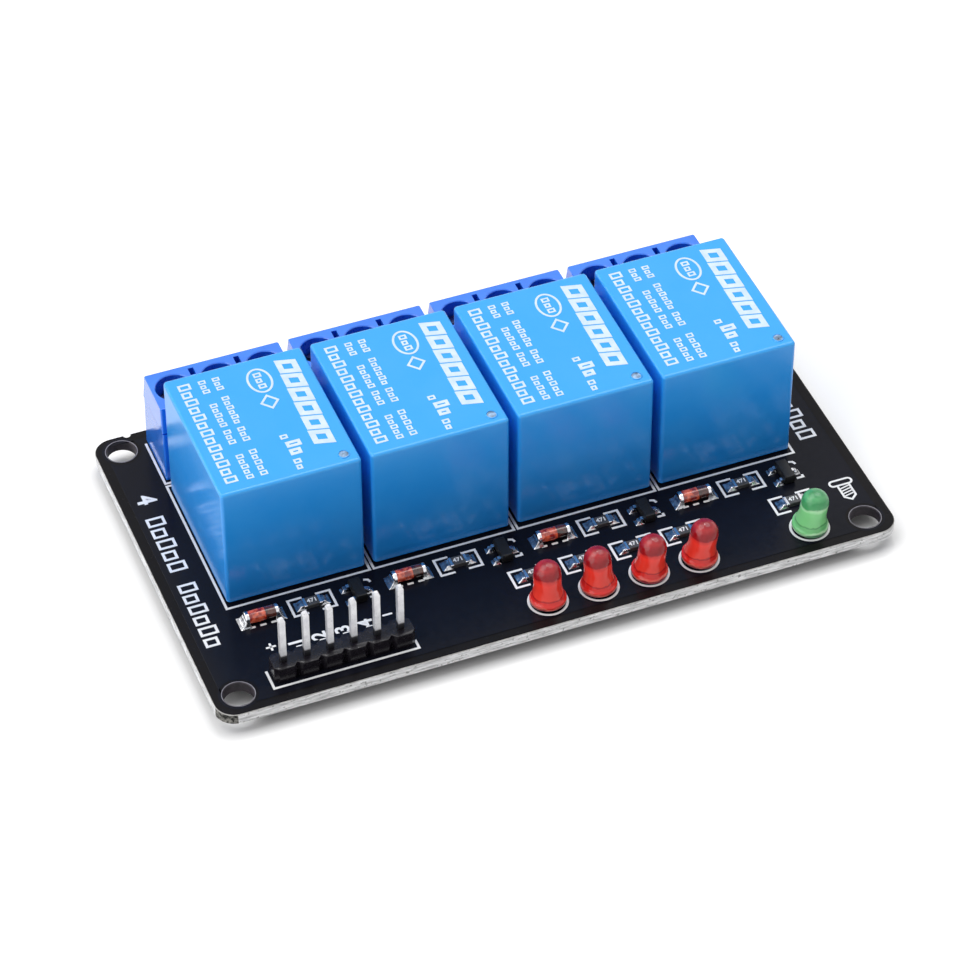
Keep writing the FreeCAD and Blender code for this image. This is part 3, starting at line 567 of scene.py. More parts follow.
# the pale orange patches of the red tube are painted highlights; its deep red is the colour inside the
# glass
DIODE_GLASS = make_diode_glass("diode_glass", (255, 112, 76), (150, 20, 20))
DIODE_DARK = make_diode_glass("diode_glass_dark", (104, 48, 38), (30, 16, 16))
CHIP_BLACK = mottled("chip_black", (15, 16, 18), (23, 24, 27), 0.42, 0.8, 0.08, 0.01,
                     specular_ior_level=0.3)
CHIP_GREY = mottled("resistor_coat", (62, 63, 66), (78, 78, 80), 0.35, 0.6, 0.08, 0.006,
                    specular_ior_level=0.4)
SOLDER = mottled("solder", (222, 223, 226), (120, 122, 128), 0.18, 0.4, 0.3, 0.03, metallic=1.0)


# ---- the bare board

BOARD_FINISHES = [MASK, FIBRE, CORNER, HOLE_WALL, RIM]


def board_outline(inset):
    """The board's edge, with round corners and a small notch in the back"""
    corners = rounded(PCB_MIDDLE.x, PCB_MIDDLE.y, PCB_HALF.x - inset, PCB_HALF.y - inset,
                      BOARD_CORNER - inset, BOARD_CORNER_STEPS)
    first = BOARD_CORNER_STEPS + 1
    radius = NOTCH_RADIUS + inset
    start = math.asin(inset / radius)
    sweep = [start + (math.pi - 2 * start) * i / NOTCH_STEPS for i in range(NOTCH_STEPS + 1)]
    notch = [(NOTCH_X + radius * math.cos(a), PCB_HIGH.y - radius * math.sin(a)) for a in sweep]
    return corners[:first] + notch + corners[first:]


def board_finish(centre, flatness):
    """The material of a face, from its middle and how squarely it looks up or down"""
    if flatness > 0.95:
        return MASK
    if any(math.dist(centre.xy, spot) < HOLE_RADIUS + BOARD_RIM for spot in HOLES):
        return HOLE_WALL
    if flatness > 0.2:
        return RIM
    pitted = centre.x < PCB_LOW.x + PITTED_CORNER and centre.y < PCB_LOW.y + PITTED_CORNER
    return CORNER if pitted else FIBRE


def make_board():
    """Glass-fibre board with a bare edge, pitted at one corner, and four open mounting holes"""
    levels = []
    for z, inset in ((PCB_LOW.z, BOARD_RIM), (PCB_LOW.z + BOARD_RIM, 0.0),
                     (TOP - BOARD_RIM, 0.0), (TOP, BOARD_RIM)):
        holes = [disc(x, y, HOLE_RADIUS + inset, HOLE_SIDES) for x, y in HOLES]
        levels.append((z, [board_outline(inset)] + holes))
    bm = bmesh.new()
    stack(bm, levels)
    for face in bm.faces:
        face.normal_update()
        finish = board_finish(face.calc_center_median(), abs(face.normal.z))
        face.material_index = BOARD_FINISHES.index(finish)
    finish_piece(as_object("board_blank", bm), BOARD_FINISHES, stands_for=["pcb"],
                 crease=20)


def make_pour():
    """The copper under the mask: it stops short of the board's edge and of each mounting hole"""
    outline = rounded(PCB_MIDDLE.x, PCB_MIDDLE.y, PCB_HALF.x - POUR_INSET,
                      PCB_HALF.y - POUR_INSET, BOARD_CORNER - POUR_INSET, 8)
    holes = [disc(x, y, HOLE_RADIUS + POUR_HOLE_GAP, 48) for x, y in HOLES]
    bm = bmesh.new()
    stack(bm, [(TOP, [outline] + holes), (TOP + POUR_RISE, [offset(outline, -POUR_RISE)] + holes)],
          ends=(False, True))
    finish_piece(as_object("copper_pour", bm), [POUR])


# ---- print

class Print:
    """Flat shapes of ink that lie on one face"""

    def __init__(self, z):
        self.bm = bmesh.new()
        self.z = z

    def field(self, *loops):
        """Ink inside an outline, around any holes"""
        stack(self.bm, [(self.z, list(loops)), (self.z + INK, list(loops))])

    def line(self, points, width=LINE, closed=False):
        """A stroke of even width with mitred corners"""
        right, left = (offset(points, side * width / 2, closed) for side in (1, -1))
        if closed:
            self.field(right, left)
        else:
            self.field(right + left[::-1])

    def frame(self, left, front, right, back, width=LINE):
        """A hollow rectangle"""
        self.line([(left, front), (right, front), (right, back), (left, back)], width, closed=True)

    def ring(self, x, y, radius, width=LINE, squash=1.0, sides=56):
        """A circle, or an ellipse that is longer along Y"""
        self.line(disc(x, y, radius, sides, squash), width, closed=True)

    def bar(self, x, y, length, width, angle=0.0):
        """A short stroke with round ends"""
        outline = rounded(0, 0, length / 2, width / 2, width * 0.35, 3)
        self.field(turned(outline, angle, x, y))

    def boxes(self, x, start, end, count, height, width):
        """A row of small plain frames along Y, low and high by turns"""
        pitch = (end - start) / count
        half_x = (height - width) / 2
        half_y = abs(pitch) * BOX_SHARE - width / 2
        for i in range(count):
            drop = BOX_DROP * height * (i % 2)
            y = start + pitch * (i + 0.5)
            self.frame(x - half_x, y - half_y, x + half_x - drop, y + half_y, width)

    def figure(self, text, x, y, height, angle):
        """A plain number"""
        curve = bpy.data.curves.new("figure", "FONT")
        curve.body = text
        curve.size = height / FIGURE_SHARE
        curve.align_x = curve.align_y = "CENTER"
        curve.extrude = INK / 2
        curve.offset = FIGURE_WEIGHT * height
        written = bpy.data.objects.new("figure", curve)
        bpy.context.scene.collection.objects.link(written)
        mesh = settled_mesh(written)
        mesh.transform(Matrix.Translation((x, y, self.z + INK / 2))
                       @ Matrix.Rotation(math.radians(angle), 4, "Z"))
        self.bm.from_mesh(mesh)
        bpy.data.objects.remove(written)
        bpy.data.meshes.remove(mesh)


def print_frames(ink):
    """A frame round each relay, and one that is open behind round each terminal block"""
    relay_low, relay_high = COVERS[1]
    relay_half = 7.88
    for i, x in CHANNEL_X.items():
        ink.frame(x - relay_half, relay_low.y - 0.55, x + relay_half, relay_high.y + 0.5)
        low, high = box_mm(f"terminal_housing_{i}")
        left, right = low.x - 0.23, high.x + 0.23
        front, back = low.y - 0.5, high.y - 0.75
        ink.line([(left, back), (left, front), (right, front), (right, back)])


def print_header_marks(ink):
    """A bracket in front of the header, plain figures behind its pins, and a plus and a minus"""
    low, high = box_mm("header_insulator")
    left, right, front = low.x - 0.35, high.x + 0.1, low.y - 0.5
    ink.line([(left, low.y + 2.1), (left, front), (right, front), (right, low.y + 0.7)])
    stroke, sign_length, sign_back = 0.24, 1.1, 3.95
    plus, *channels, minus = [middle(part)[:2] for part in loose_parts("header_pins")]
    for number, (x, y) in enumerate(channels, 1):
        ink.figure(str(number), x + 0.1, y + 3.65, 1.5, 90)
        ink.bar(x + 0.25, y + 3.0, 0.75, stroke)
    for (x, y), angle in ((plus, 0), (minus, 0), (plus, 90)):
        ink.bar(x, y + sign_back, sign_length, stroke, angle)


def print_part_marks(ink):
    """Rings round the lamps, brackets round the resistors, strokes beside diodes and transistors"""
    for lens in loose_parts("red_led_lenses") + loose_parts("green_led_lens"):
        foot = axis_of(lens)[0]
        ink.ring(foot[0], foot[1], 2.03)
    half_x, half_y, gap = 2.3, 1.2, 0.75
    for part in loose_parts("resistor_bodies"):
        x, y, _ = middle(part)
        for side in (-1, 1):
            ink.line([(x + side * gap, y - half_y), (x + side * half_x, y - half_y),
                      (x + side * half_x, y + half_y), (x + side * gap, y + half_y)][::side])
    for part in loose_parts("diode_glass"):
        x, y, _ = middle(part)
        for shift in (-1.3, -0.1, 1.1):
            ink.bar(x + shift, y - 0.85, 0.7, LINE)
    for part in loose_parts("transistor_bodies"):
        x, y, _ = middle(part)
        ink.line([(x + 1.2, y + 1.75), (x + 1.65, y + 1.6), (x + 1.8, y + 1.2)])
        ink.line([(x + 1.0, y - 0.9), (x + 1.75, y - 0.9), (x + 1.75, y - 0.55)])


def print_titles(ink):
    """A plain figure and rows of boxes near the board's two ends"""
    left_x, right_x = -34.95, 34.65
    height, stroke = 2.0, 0.3
    ink.figure("4", left_x, 11.2, height, -90)
    ink.boxes(left_x, 8.5, -0.5, 5, height, stroke)
    ink.boxes(left_x, -2.2, -12.3, 6, height, stroke)
    ink.boxes(right_x, -6.2, 4.2, 6, height, stroke)


def print_screw_sign(ink, x, y):
    """A plain screw in outline that points at the nearest mounting hole"""
    stroke = 0.24
    left, axis, right = x - 0.55, x + 0.1, x + 0.75
    neck, taper, tip = y - 0.5, y - 2.25, y - 2.8
    ink.line(rounded(x, y, 1.25, 0.4, 0.38, 4), stroke, closed=True)
    ink.line([(left, neck), (left, taper), (axis, tip), (right, taper), (right, neck)], stroke)
    for thread in range(4):
        ink.bar(axis, y - 0.82 - 0.4 * thread, 1.2, 0.17, 12)


def print_board():
    """All the white print on the board, and the dull ring round each mounting hole"""
    ink = Print(TOP)
    print_frames(ink)
    print_header_marks(ink)
    print_part_marks(ink)
    print_titles(ink)
    print_screw_sign(ink, 34.85, -13.6)
    finish_piece(as_object("silkscreen", ink.bm), [SILK])
    rings = Print(TOP)
    for x, y in HOLES:
        rings.ring(x, y, HOLE_RADIUS + 0.12, 0.08, sides=HOLE_SIDES)
    finish_piece(as_object("hole_rings", rings.bm), [HOLE_RING])


# ---- relays

def make_cover(i):
    """The blue case: round edges, open underneath, with the small nib of its vent"""
    low, high = COVERS[i]
    x, y = CHANNEL_X[i], RELAY_Y
    half_x, half_y = (high.x - low.x) / 2, (high.y - low.y) / 2
    levels = [(low.z, [rounded(x, y, half_x, half_y, COVER_CORNER)])]
    for step in range(COVER_EDGE_STEPS + 1):
        angle = math.radians(90 * step / COVER_EDGE_STEPS)
        inset = COVER_EDGE * (1 - math.cos(angle))
        outline = rounded(x, y, half_x - inset, half_y - inset, COVER_CORNER - inset)
        levels.append((ROOF - COVER_EDGE * (1 - math.sin(angle)), [outline]))
    hollow = rounded(x, y, half_x - COVER_WALL, half_y - COVER_WALL, COVER_INNER_CORNER)
    bm = bmesh.new()
    outer = stack(bm, levels, ends=(False, True))
    inner = stack(bm, [(low.z, [hollow]), (ROOF - COVER_ROOF, [hollow])], ends=(False, True))
    cap(bm, [outer[0][0], inner[0][0]])
    vent = Matrix.Translation((high.x - VENT_FROM_RIGHT, low.y + VENT_FROM_FRONT, ROOF))
    scar = VENT_RADIUS - VENT_LIP
    lathe(bm, [(VENT_RADIUS, 0.0), (VENT_RADIUS - 0.05, 0.1), (scar + 0.03, NIB_RISE), (scar, 0.04)],
          vent, VENT_SIDES)
    # the scar in the middle of the nib takes the second material, with its painted highlights
    lathe(bm, [(scar, 0.0), (scar, 0.04), (0.2, 0.06), (0.0, 0.1)], vent, VENT_SIDES, 1)
    finish_piece(as_object(f"relay_case_{i}", bm), [RELAY_BLUE, VENT_SCAR_AND_PAINTED_HIGHLIGHT],
                 stands_for=[f"relay_cover_{i}"])


# x, start, end, count, height and stroke of each row, from the middle of the print
ROOF_ROWS = (
    (2.2, 7.2, 4.5, 3, 0.85, 0.2),
    (1.65, -2.8, -3.65, 1, 0.8, 0.2), (2.25, -3.9, -6.3, 2, 1.6, 0.36),
    (1.75, -6.7, -8.5, 2, 0.8, 0.2),
    (-3.5, 8.15, 5.9, 3, 0.78, 0.17), (-3.5, 4.3, 0.4, 5, 0.78, 0.17),
    (-3.5, 0.0, -2.4, 3, 0.78, 0.17), (-3.5, -3.96, -7.95, 5, 0.78, 0.17),
    (-2.0, 8.1, 5.9, 3, 0.78, 0.17), (-2.0, 4.95, 0.4, 6, 0.78, 0.17),
    (-2.0, -0.07, -2.45, 3, 0.78, 0.17), (-2.0, -3.7, -7.95, 5, 0.78, 0.17),
    (-5.45, 8.3, -7.9, 13, 1.35, 0.24),
)


def print_roof(i):
    """Plain boxes, slanted blocks, an oval ring and a diamond where such a case is printed"""
    x, y = CHANNEL_X[i] - 0.35, RELAY_Y - 0.1
    stroke, slant = 0.24, 0.4
    ink = Print(ROOF)
    for k in range(6):
        inner = x + 4.85 - 0.07 * k
        outer = inner + 1.6
        start = y + 7.85 - 2.3 * k
        end = start - 1.5
        ink.line([(inner, start), (inner, end), (outer, end - slant), (outer, start - slant)],
                 0.62, closed=True)
    ink.ring(x + 2.2, y + 5.85, 1.22, stroke, squash=1.5)
    ink.line([(x + 1.2, y + 2.4), (x + 2.1, y + 1.4), (x + 3.0, y + 2.4), (x + 2.1, y + 3.4)],
             stroke, closed=True)
    for row_x, start, end, count, height, width in ROOF_ROWS:
        ink.boxes(x + row_x, y + start, y + end, count, height, width)
    finish_piece(as_object(f"roof_print_{i}", ink.bm), [ROOF_INK])


# ---- screw terminals

def cut_housing(housing, screws, row_y, high):
    """Takes round wells, seats for the clamps, wire entries and narrow slots out of a block"""
    cage_low, cage_high = TOP + CAGE_LIFT, box_mm("terminal_clamps")[1].z
    mouth, past = WELL_RADIUS + WELL_CHAMFER, 1.0
    cutters = bmesh.new()
    for screw_low, screw_high in screws:
        x = (screw_low.x + screw_high.x) / 2
        well = [(WELL_RADIUS, cage_high - 0.1), (WELL_RADIUS, high.z - WELL_CHAMFER),
                (mouth, high.z), (mouth, high.z + past)]
        lathe(cutters, well, Matrix.Translation((x, row_y, 0)), WELL_SIDES)
        block(cutters, (x - CAGE_HALF_X, row_y - CAGE_HALF_Y, cage_low - CAGE_GAP),
              (x + CAGE_HALF_X, row_y + CAGE_HALF_Y, cage_high))
        block(cutters, (x - ENTRY_WIDTH / 2, row_y, TOP + ENTRY_LOW),
              (x + ENTRY_WIDTH / 2, high.y + past, TOP + ENTRY_HIGH))
    slot_back = row_y + TOP_BACK - SLOT_BACK
    for near, far in zip(screws, screws[1:]):
        x = (near[0].x + far[1].x) / 2
        block(cutters, (x - SLOT_WIDTH / 2, slot_back - SLOT_LENGTH, high.z - SLOT_DEPTH),
              (x + SLOT_WIDTH / 2, slot_back, high.z + past))
    carve(housing, cutters)


def make_housing(i):
    """The blue block: stepped back and sides, round wells, narrow slots and wire entries"""
    low, high = box_mm(f"terminal_housing_{i}")
    x, half = (low.x + high.x) / 2, (high.x - low.x) / 2
    first = POLES_EACH * (i - 1) + 1
    screws = [box_mm(f"terminal_screw_{k}") for k in range(first, first + POLES_EACH)]
    row_y = (screws[0][0].y + screws[0][1].y) / 2
    front = low.y - row_y
    ledge, edge, groove = TOP + LEDGE_HEIGHT, HOUSING_EDGE, HOUSING_GROOVE
    lower_half, lower_back = half - HOUSING_STEP, LEDGE_BACK - LEDGE_SETBACK

    def level(z, half_x, back, inset=0.0):
        depth = (back - front) / 2 - inset
        centre = row_y + (back + front) / 2
        return z, [rounded(x, centre, half_x - inset, depth, HOUSING_CORNER)]

    bm = bmesh.new()
    stack(bm, [
        level(TOP, lower_half, high.y - row_y),
        level(ledge - edge, lower_half, lower_back),
        level(ledge - 0.8 * edge, lower_half, lower_back, groove),
        level(ledge + 0.8 * edge, lower_half, lower_back, groove),
        level(ledge + edge, half, LEDGE_BACK),
        level(high.z - edge, half, TOP_BACK + 0.03),
        level(high.z - 0.3 * edge, half, TOP_BACK, 0.3 * edge),
        level(high.z, half, TOP_BACK, edge),
    ])
    housing = as_object(f"terminal_block_{i}", bm)
    cut_housing(housing, screws, row_y, high)
    # faces inside the wells, seats, entries and slots, and those of the groove round the ledge, get
    # the darker blue: painted shade
    for face in housing.data.polygons:
        spot = face.center / MM
        between_walls = (abs(spot.x - x) < half - 0.5
                         and low.y + 0.4 < spot.y < row_y + TOP_BACK - 0.4)
        grooved = abs(spot.z - ledge) < 0.9 * edge
        face.material_index = int(grooved or between_walls and spot.z < high.z - 0.15)
    finish_piece(housing, [TERMINAL_BLUE, TERMINAL_PAINTED_SHADE], stands_for=[f"terminal_housing_{i}"])


def add_thread(bm, foot, top):
    """A shank with a fine sharp thread, closed at both ends"""
    count = THREAD_STEPS * int((top - foot) / THREAD_PITCH)
    rows = []
    for step in range(count + 1):
        z = foot + (top - foot) * step / count
        ring = []
        for k in range(THREAD_SIDES):
            phase = (z / THREAD_PITCH + k / THREAD_SIDES) % 1.0
            radius = THREAD_CREST - THREAD_DEPTH * abs(2 * phase - 1)
            angle = 2 * math.pi * k / THREAD_SIDES
            ring.append(bm.verts.new((radius * math.cos(angle), radius * math.sin(angle), z)))
        rows.append(ring)
    for lower, upper in zip(rows, rows[1:]):
        bridge(bm, lower, upper)
    bm.faces.new(rows[0])
    bm.faces.new(rows[-1])


def make_screw_mesh(low, high):
    """A clamp screw: low cylindrical head with a cross recess, and a threaded shank"""
    top, head_foot = high.z - SCREW_DROP, high.z - SCREW_HEAD
    head_radius = (high.x - low.x) / 2
    bm = bmesh.new()
    lathe(bm, [(0.0, head_foot), (head_radius, head_foot), (head_radius, top - 0.3),
               (head_radius - 0.08, top - 0.1), (head_radius - 0.3, top), (0.0, top)])
    head = as_object("screw_head", bm)
    cutters = bmesh.new()
    for half_x, half_y in ((head_radius, RECESS_HALF), (RECESS_HALF, head_radius)):
        block(cutters, (-half_x * 0.98, -half_y, top - RECESS_DEPTH),
              (half_x * 0.98, half_y, top + 1))
    carve(head, cutters)
    bm = bmesh.new()
    bm.from_mesh(head.data)
    bpy.data.objects.remove(head)
    bmesh.ops.scale(bm, vec=(1 / MM,) * 3, verts=bm.verts)
    add_thread(bm, low.z, head_foot)
    return as_object("screw_master", bm)


def make_screws():
    """Twelve clamp screws, each turned by a different amount"""
    low, high = box_mm("terminal_screw_1")
    centre = (low + high) / 2
    master = make_screw_mesh(low - centre, high - centre)
    for k in POLES:
        low, high = box_mm(f"terminal_screw_{k}")
        screw = bpy.data.objects.new(f"clamp_screw_{k}", master.data.copy())
        bpy.context.scene.collection.objects.link(screw)
        turn = Matrix.Rotation(math.radians(SCREW_TURN * k), 4, "Z")
        screw.data.transform(Matrix.Translation((low + high) / 2 * MM) @ turn)
        finish_piece(screw, [SCREW_STEEL_PAINTED_SHADE], f"screw_{k}", [f"terminal_screw_{k}"])
    bpy.data.objects.remove(master)


# ---- header

def make_header():
    """A strip of square segments with snapped notches between them"""
    low, high = box_mm("header_insulator")
    pins = [middle(part)[0] for part in loose_parts("header_pins")]
    y, half_y = (low.y + high.y) / 2, (high.y - low.y) / 2
    half_x = (pins[1] - pins[0]) / 2
    notch, edge = HEADER_NOTCH, HEADER_EDGE
    front = []
    for x in pins:
        front += [(x - half_x, notch - half_y), (x - half_x + notch, -half_y),
                  (x + half_x - notch, -half_y)]
    front.append((pins[-1] + half_x, notch - half_y))
    back = [(x, -depth) for x, depth in reversed(front)]
    loop = [(x, y + depth) for x, depth in front + back]
    bm = bmesh.new()
    stack(bm, [(low.z, [offset(loop, -edge / 2)]), (low.z + edge, [loop]),
               (high.z - edge, [loop]), (high.z - edge / 3, [offset(loop, -edge / 3)]),
               (high.z, [offset(loop, -edge)])])
    finish_piece(as_object("header_strip", bm), [BLACK_PLASTIC], stands_for=["header_insulator"])


# ---- lamps

def add_lamp(bm, part):
    """A round lamp: flange, flared skirt, shaft and dome, leaning as its solid does"""
    foot, direction, height = axis_of(part)
    tilt = Vector((0, 0, 1)).rotation_difference(Vector(direction)).to_matrix().to_4x4()
    shoulder = FLANGE_RADIUS - FLANGE_SHOULDER
    profile = [(0.0, 0.0), (FLANGE_RADIUS - 0.1, 0.0), (FLANGE_RADIUS, 0.1),
               (FLANGE_RADIUS, FLANGE_HEIGHT - 0.12), (FLANGE_RADIUS - 0.06, FLANGE_HEIGHT - 0.03),
               (shoulder, FLANGE_HEIGHT)]
    for step in range(1, FLARE_STEPS + 1):
        share = step / FLARE_STEPS
        profile.append((LENS_RADIUS + (shoulder - LENS_RADIUS) * (1 - share) ** FLARE_BEND,
                        FLANGE_HEIGHT + FLARE_HEIGHT * share))
    for step in range(DOME_STEPS):
        angle = math.radians(90 * step / DOME_STEPS)
        profile.append((LENS_RADIUS * math.cos(angle),
                        height - LENS_RADIUS + LENS_RADIUS * math.sin(angle)))
    profile.append((0.0, height))
    lathe(bm, profile, Matrix.Translation(foot) @ tilt, LENS_SIDES)


def make_lamps():
    """Four red lamps and a green one"""
    for node, name, lens, slot in (("red_led_lenses", "red_lamps", RED_LENS, "red_lens"),
                                   ("green_led_lens", "green_lamp", GREEN_LENS, "green_lens")):
        bm = bmesh.new()
        for part in loose_parts(node):
            add_lamp(bm, part)
        finish_piece(as_object(name, bm), [lens], stands_for=[node], crease=60)


# ---- surface-mount parts

# share of a pool's height, and of its size at that height
POOL_SLOPE = ((0.06, 1.0), (0.15, 0.85), (0.4, 0.62), (0.75, 0.46), (1.0, 0.35))


def moulding(bm, x, y, radius, steps, levels):
    """A small block with round corners: (height, half length, half depth) at each level"""
    stack(bm, [(z, [rounded(x, y, half_x, half_y, radius, steps)]) for z, half_x, half_y in levels])


def pool(bm, x, y, half_x, half_y, height, lean=0.0):
    """Solder on a pad: a flat foot that climbs in a hollow slope towards one side"""
    levels = [(TOP, [rounded(x, y, half_x, half_y, 0.18, 4)])]
    for share, size in POOL_SLOPE:
        outline = rounded(x + lean * (1 - size), y, half_x * size, half_y * (0.55 + 0.45 * size),
                          0.12, 4)
        levels.append((TOP + height * share, [outline]))
    stack(bm, levels)


def make_diodes(joints):
    """Glass tubes between metal caps, soldered down at both ends"""
    turn = Matrix.Rotation(math.radians(90), 4, "Y")
    glass, caps = bmesh.new(), bmesh.new()
    for part in loose_parts("diode_glass"):
        x, y, z = middle(part)
        half, _, radius = half_size(part)
        place = Matrix.Translation((x, y, z)) @ turn
        stripe, shoulder = half * DIODE_STRIPE_END, half * 0.7
        waist, mouth = radius * 0.98, radius * 0.93
        lathe(glass, [(0, -half), (mouth, -half), (waist, -shoulder), (waist, stripe), (0, stripe)],
              place)
        lathe(glass, [(0, stripe), (waist, stripe), (waist, shoulder), (mouth, half), (0, half)],
              place, material=1)
        for side in (-1, 1):
            start, end = half * side, (half + DIODE_CAP_LENGTH) * side
            lathe(caps, [(0, start), (radius, start), (radius, end - 0.1 * side),
                         (radius - 0.08, end), (0, end)], place)
            pool(joints, x + side * (half + 0.45), y, 0.62, 0.95, 0.75, -side * 0.4)
    finish_piece(as_object("diode_tubes", glass), [DIODE_GLASS, DIODE_DARK],
                 stands_for=["diode_glass"])
    finish_piece(as_object("diode_ends", caps), [TINNED], stands_for=["diode_caps"])


def make_resistors(joints):
    """Chip resistors: a coated body, wrapped ends, a plain value on top"""
    bodies, ends = bmesh.new(), bmesh.new()
    parts = loose_parts("resistor_bodies")
    foot, top = parts[0][:, 2].min(), parts[0][:, 2].max()
    end_half = RESISTOR_END_HALF
    ink = Print(top)
    for part in parts:
        x, y, _ = middle(part)
        half_x, half_y, _ = half_size(part)
        coat_y = half_y - 0.02
        moulding(bodies, x, y, 0.04, 2, [(foot, half_x, coat_y), (top - 0.06, half_x, coat_y),
                                         (top, half_x, coat_y - 0.05)])
        ink.figure("471", x, y, 0.52, 0)
        for side in (-1, 1):
            moulding(ends, x + side * (half_x + end_half), y, 0.05, 2, [
                (foot, end_half, half_y), (top - 0.05, end_half, half_y),
                (top, end_half - 0.035, half_y - 0.04)])
            pool(joints, x + side * 1.35, y, 0.55, 0.68, 0.4, -side * 0.35)
    finish_piece(as_object("resistor_chips", bodies), [CHIP_GREY], stands_for=["resistor_bodies"])
    finish_piece(as_object("resistor_caps", ends), [TINNED], stands_for=["resistor_ends"])
    finish_piece(as_object("resistor_figures", ink.bm), [SILK])


def make_transistors(joints):
    """Moulded bodies with drafted sides, and a solder joint on each lead"""
    bm = bmesh.new()
    bodies = loose_parts("transistor_bodies")
    for part in bodies:
        x, y, waist = middle(part)
        half_x, half_y, half_z = half_size(part)
        drafted = (half_x - 0.08, half_y - 0.08)
        moulding(bm, x, y, 0.06, 3, [
            (waist - half_z, *drafted), (waist, half_x, half_y), (waist + half_z - 0.05, *drafted),
            (waist + half_z, half_x - 0.14, half_y - 0.14)])
    body_x = [middle(part)[0] for part in bodies]
    for part in loose_parts("transistor_leads"):
        x, y, _ = middle(part)
        nearest = min(body_x, key=lambda body: abs(body - x))
        pool(joints, x + math.copysign(0.2, x - nearest), y, 0.5, 0.42, 0.4)
    finish_piece(as_object("transistor_chips", bm), [CHIP_BLACK], stands_for=["transistor_bodies"])


def make_top_parts():
    """The small parts on the board, and one piece with all their solder"""
    joints = bmesh.new()
    make_diodes(joints)
    make_resistors(joints)
    make_transistors(joints)
    finish_piece(as_object("solder_pools", joints), [SOLDER], crease=60)


def make_cones():
    """Hollow cones of solder under the board, one round each lead"""
    bm = bmesh.new()
    for part in loose_parts("solder_joints"):
        x, y, _ = middle(part)
        radius, _, half_depth = half_size(part)
        depth, tip = 2 * half_depth, CONE_TIP * radius
        profile = [(radius, 0.0), (radius, -CONE_FOOT)]
        for step in range(1, CONE_STEPS + 1):
            share = step / CONE_STEPS
            profile.append((tip + (radius - tip) * (1 - share) ** 2,
                            -CONE_FOOT - (depth - 0.06) * share))
        profile.append((0.0, -depth))
        lathe(bm, profile, Matrix.Translation((x, y, 0)), CONE_SIDES)
    finish_piece(as_object("solder_cones", bm), [SOLDER], stands_for=["solder_joints"],
                 crease=60)


# ---- solids that keep their CAD shape

KEPT = {
    "relay_bases": BLACK_PLASTIC, "relay_pins": TINNED, "relay_yokes": IRON,
    "relay_bobbins": FORMER, "relay_windings": WINDING, "relay_cores": IRON,
    "terminal_clamps": STEEL, "header_pins": PIN_METAL, "led_leads": TINNED,
    "transistor_leads": TINNED,
    **{f"relay_armature_{i}": IRON for i in CHANNELS},
    **{f"contact_spring_{i}": BRONZE for i in CHANNELS},
    **{f"clamp_leaf_{k}": STEEL for k in POLES},
}


def dress_kept():
    """Gives each kept solid its material"""
    for node, material in KEPT.items():
        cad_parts[node].material_slots[0].material = material


# ---- floor, light and camera

WHITE = (1.0, 1.0, 1.0, 1.0)
FLOOR_HALF = 3000
FLOOR_CORNER = 500
FLOOR_DEPTH = 2.0
FLOOR_PAINTED_SHADE_REACH = 10
FLOOR_GLOW = 0.22
ROOM_LEVEL = 0.26

# name, the direction in which the light travels, strength, width in degrees
LAMPS = (
    ("key_left", (0.45, -0.25, -1.0), 0.98, 42),
    ("key_right", (-0.45, -0.25, -1.0), 0.98, 42),
    ("spark", (-0.1, -0.35, -0.92), 0.25, 5),
    ("side", (1.0, 0.1, -0.45), 1.1, 60),
    ("front", (0.1, 1.0, -0.35), 0.14, 60),
    ("rim", (0.69, -0.68, -0.27), 0.15, 12),
)

CAMERA_PLACE = (-113.35, -288.15, 293.08)
CAMERA_AZIMUTH, CAMERA_ELEVATION, CAMERA_ROLL = -21.28, 43.24, -0.29
CAMERA_LENS = 149.49


def make_floor():
    """A white table that keeps the shadow, with a glow that only the camera sees and that fades near
    the board as painted shade
    """
    outline = rounded(0, 0, FLOOR_HALF, FLOOR_HALF, FLOOR_CORNER, 12)
    bm = bmesh.new()
    stack(bm, [(PIN_TIP - FLOOR_DEPTH, [outline]), (PIN_TIP, [outline])])
    floor = as_object("floor", bm)
    paper = bpy.data.materials.new("floor")
    paper.use_nodes = True
    tree = paper.node_tree
    tree.nodes.clear()
    paint = new_node(tree, "BsdfDiffuse", {"Color": (0.95, 0.95, 0.955, 1.0)})
    # painted shade: occlusion takes away the camera's glow near the board, so the floor turns darker
    # under its edges
    near = new_node(tree, "AmbientOcclusion", {"Distance": FLOOR_PAINTED_SHADE_REACH * MM})
    level = new_node(tree, "MapRange", {
        "Value": near.outputs["AO"], "From Min": 0.2, "To Max": FLOOR_GLOW})
    path = new_node(tree, "LightPath", {})
    lift = new_node(tree, "Math", {
        0: path.outputs["Is Camera Ray"], 1: level.outputs["Result"]}, operation="MULTIPLY")
    glow = new_node(tree, "Emission", {"Color": WHITE, "Strength": lift.outputs[0]})
    both = new_node(tree, "AddShader", {0: paint.outputs[0], 1: glow.outputs[0]})
    new_node(tree, "OutputMaterial", {"Surface": both.outputs[0]})
    floor.data.materials.append(paper)


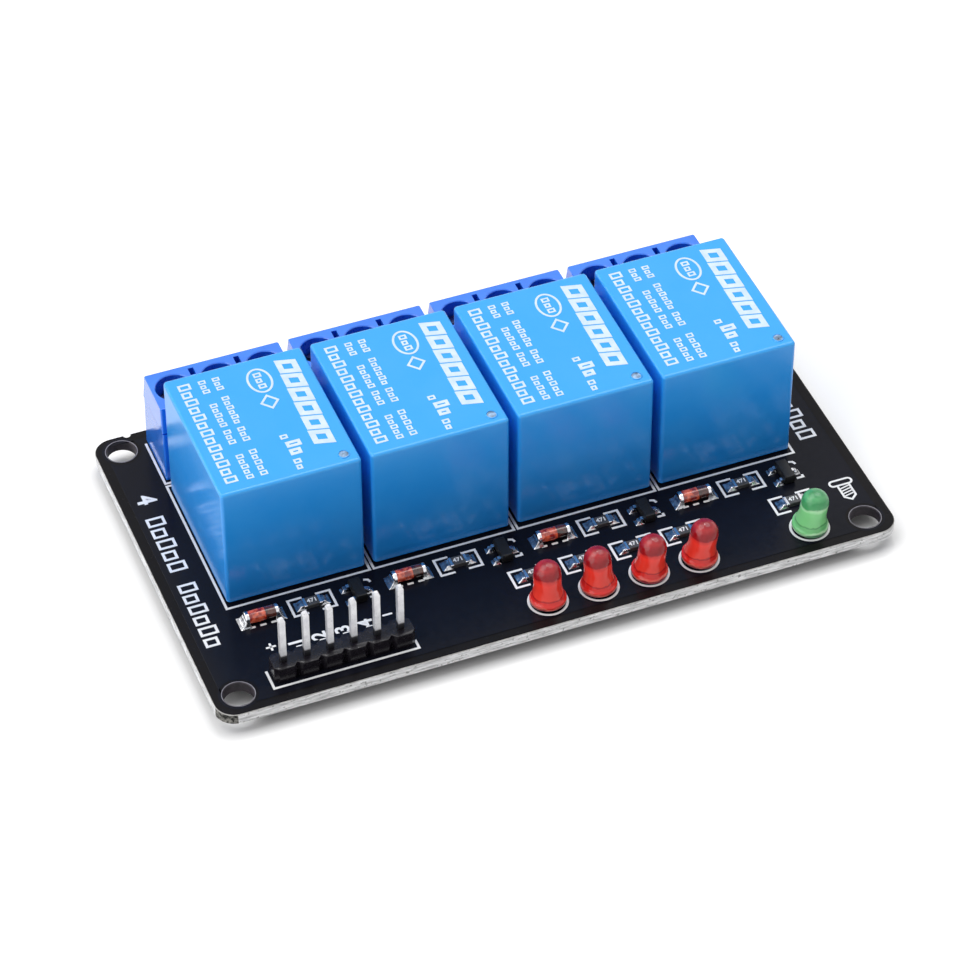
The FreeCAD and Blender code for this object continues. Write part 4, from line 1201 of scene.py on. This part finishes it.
def make_world():
    """An even pale room that the camera, metal and glass see as white"""
    world = bpy.data.worlds.new("room")
    bpy.context.scene.world = world
    world.use_nodes = True
    tree = world.node_tree
    path = new_node(tree, "LightPath", {})
    seen = path.outputs["Is Camera Ray"]
    for ray in ("Is Glossy Ray", "Is Transmission Ray"):
        seen = new_node(tree, "Math", {0: seen, 1: path.outputs[ray]},
                        operation="MAXIMUM").outputs[0]
    level = new_node(tree, "MapRange", {"Value": seen, "To Min": ROOM_LEVEL, "To Max": 1.0})
    background = tree.nodes["Background"]
    feed(tree, background.inputs["Color"], WHITE)
    feed(tree, background.inputs["Strength"], level.outputs["Result"])


def make_lamp(name, towards, strength, spread):
    """A wide soft lamp, given by the direction in which its light travels"""
    light = bpy.data.lights.new(name, "SUN")
    light.energy = strength
    light.angle = math.radians(spread)
    lamp = bpy.data.objects.new(name, light)
    lamp.rotation_mode = "QUATERNION"
    lamp.rotation_quaternion = Vector(towards).to_track_quat("-Z", "Y")
    bpy.context.scene.collection.objects.link(lamp)


def make_camera():
    """A long lens from the front left, above the board"""
    data = bpy.data.cameras.new("camera")
    data.sensor_width = 36.0
    data.lens = CAMERA_LENS
    data.clip_start = 0.01
    data.clip_end = 10.0
    camera = bpy.data.objects.new("camera", data)
    turn = (Matrix.Rotation(math.radians(CAMERA_AZIMUTH), 4, "Z")
            @ Matrix.Rotation(math.radians(90 - CAMERA_ELEVATION), 4, "X")
            @ Matrix.Rotation(math.radians(CAMERA_ROLL), 4, "Z"))
    camera.matrix_world = Matrix.Translation(Vector(CAMERA_PLACE) * MM) @ turn
    bpy.context.scene.collection.objects.link(camera)
    bpy.context.scene.camera = camera


make_board()
make_pour()
print_board()
for channel in CHANNELS:
    make_cover(channel)
    print_roof(channel)
    make_housing(channel)
make_screws()
make_header()
make_lamps()
make_top_parts()
make_cones()
dress_kept()

make_floor()
make_world()
for lamp in LAMPS:
    make_lamp(*lamp)
make_camera()
bpy.context.scene.view_settings.view_transform = "Standard"

bpy.context.view_layer.update()
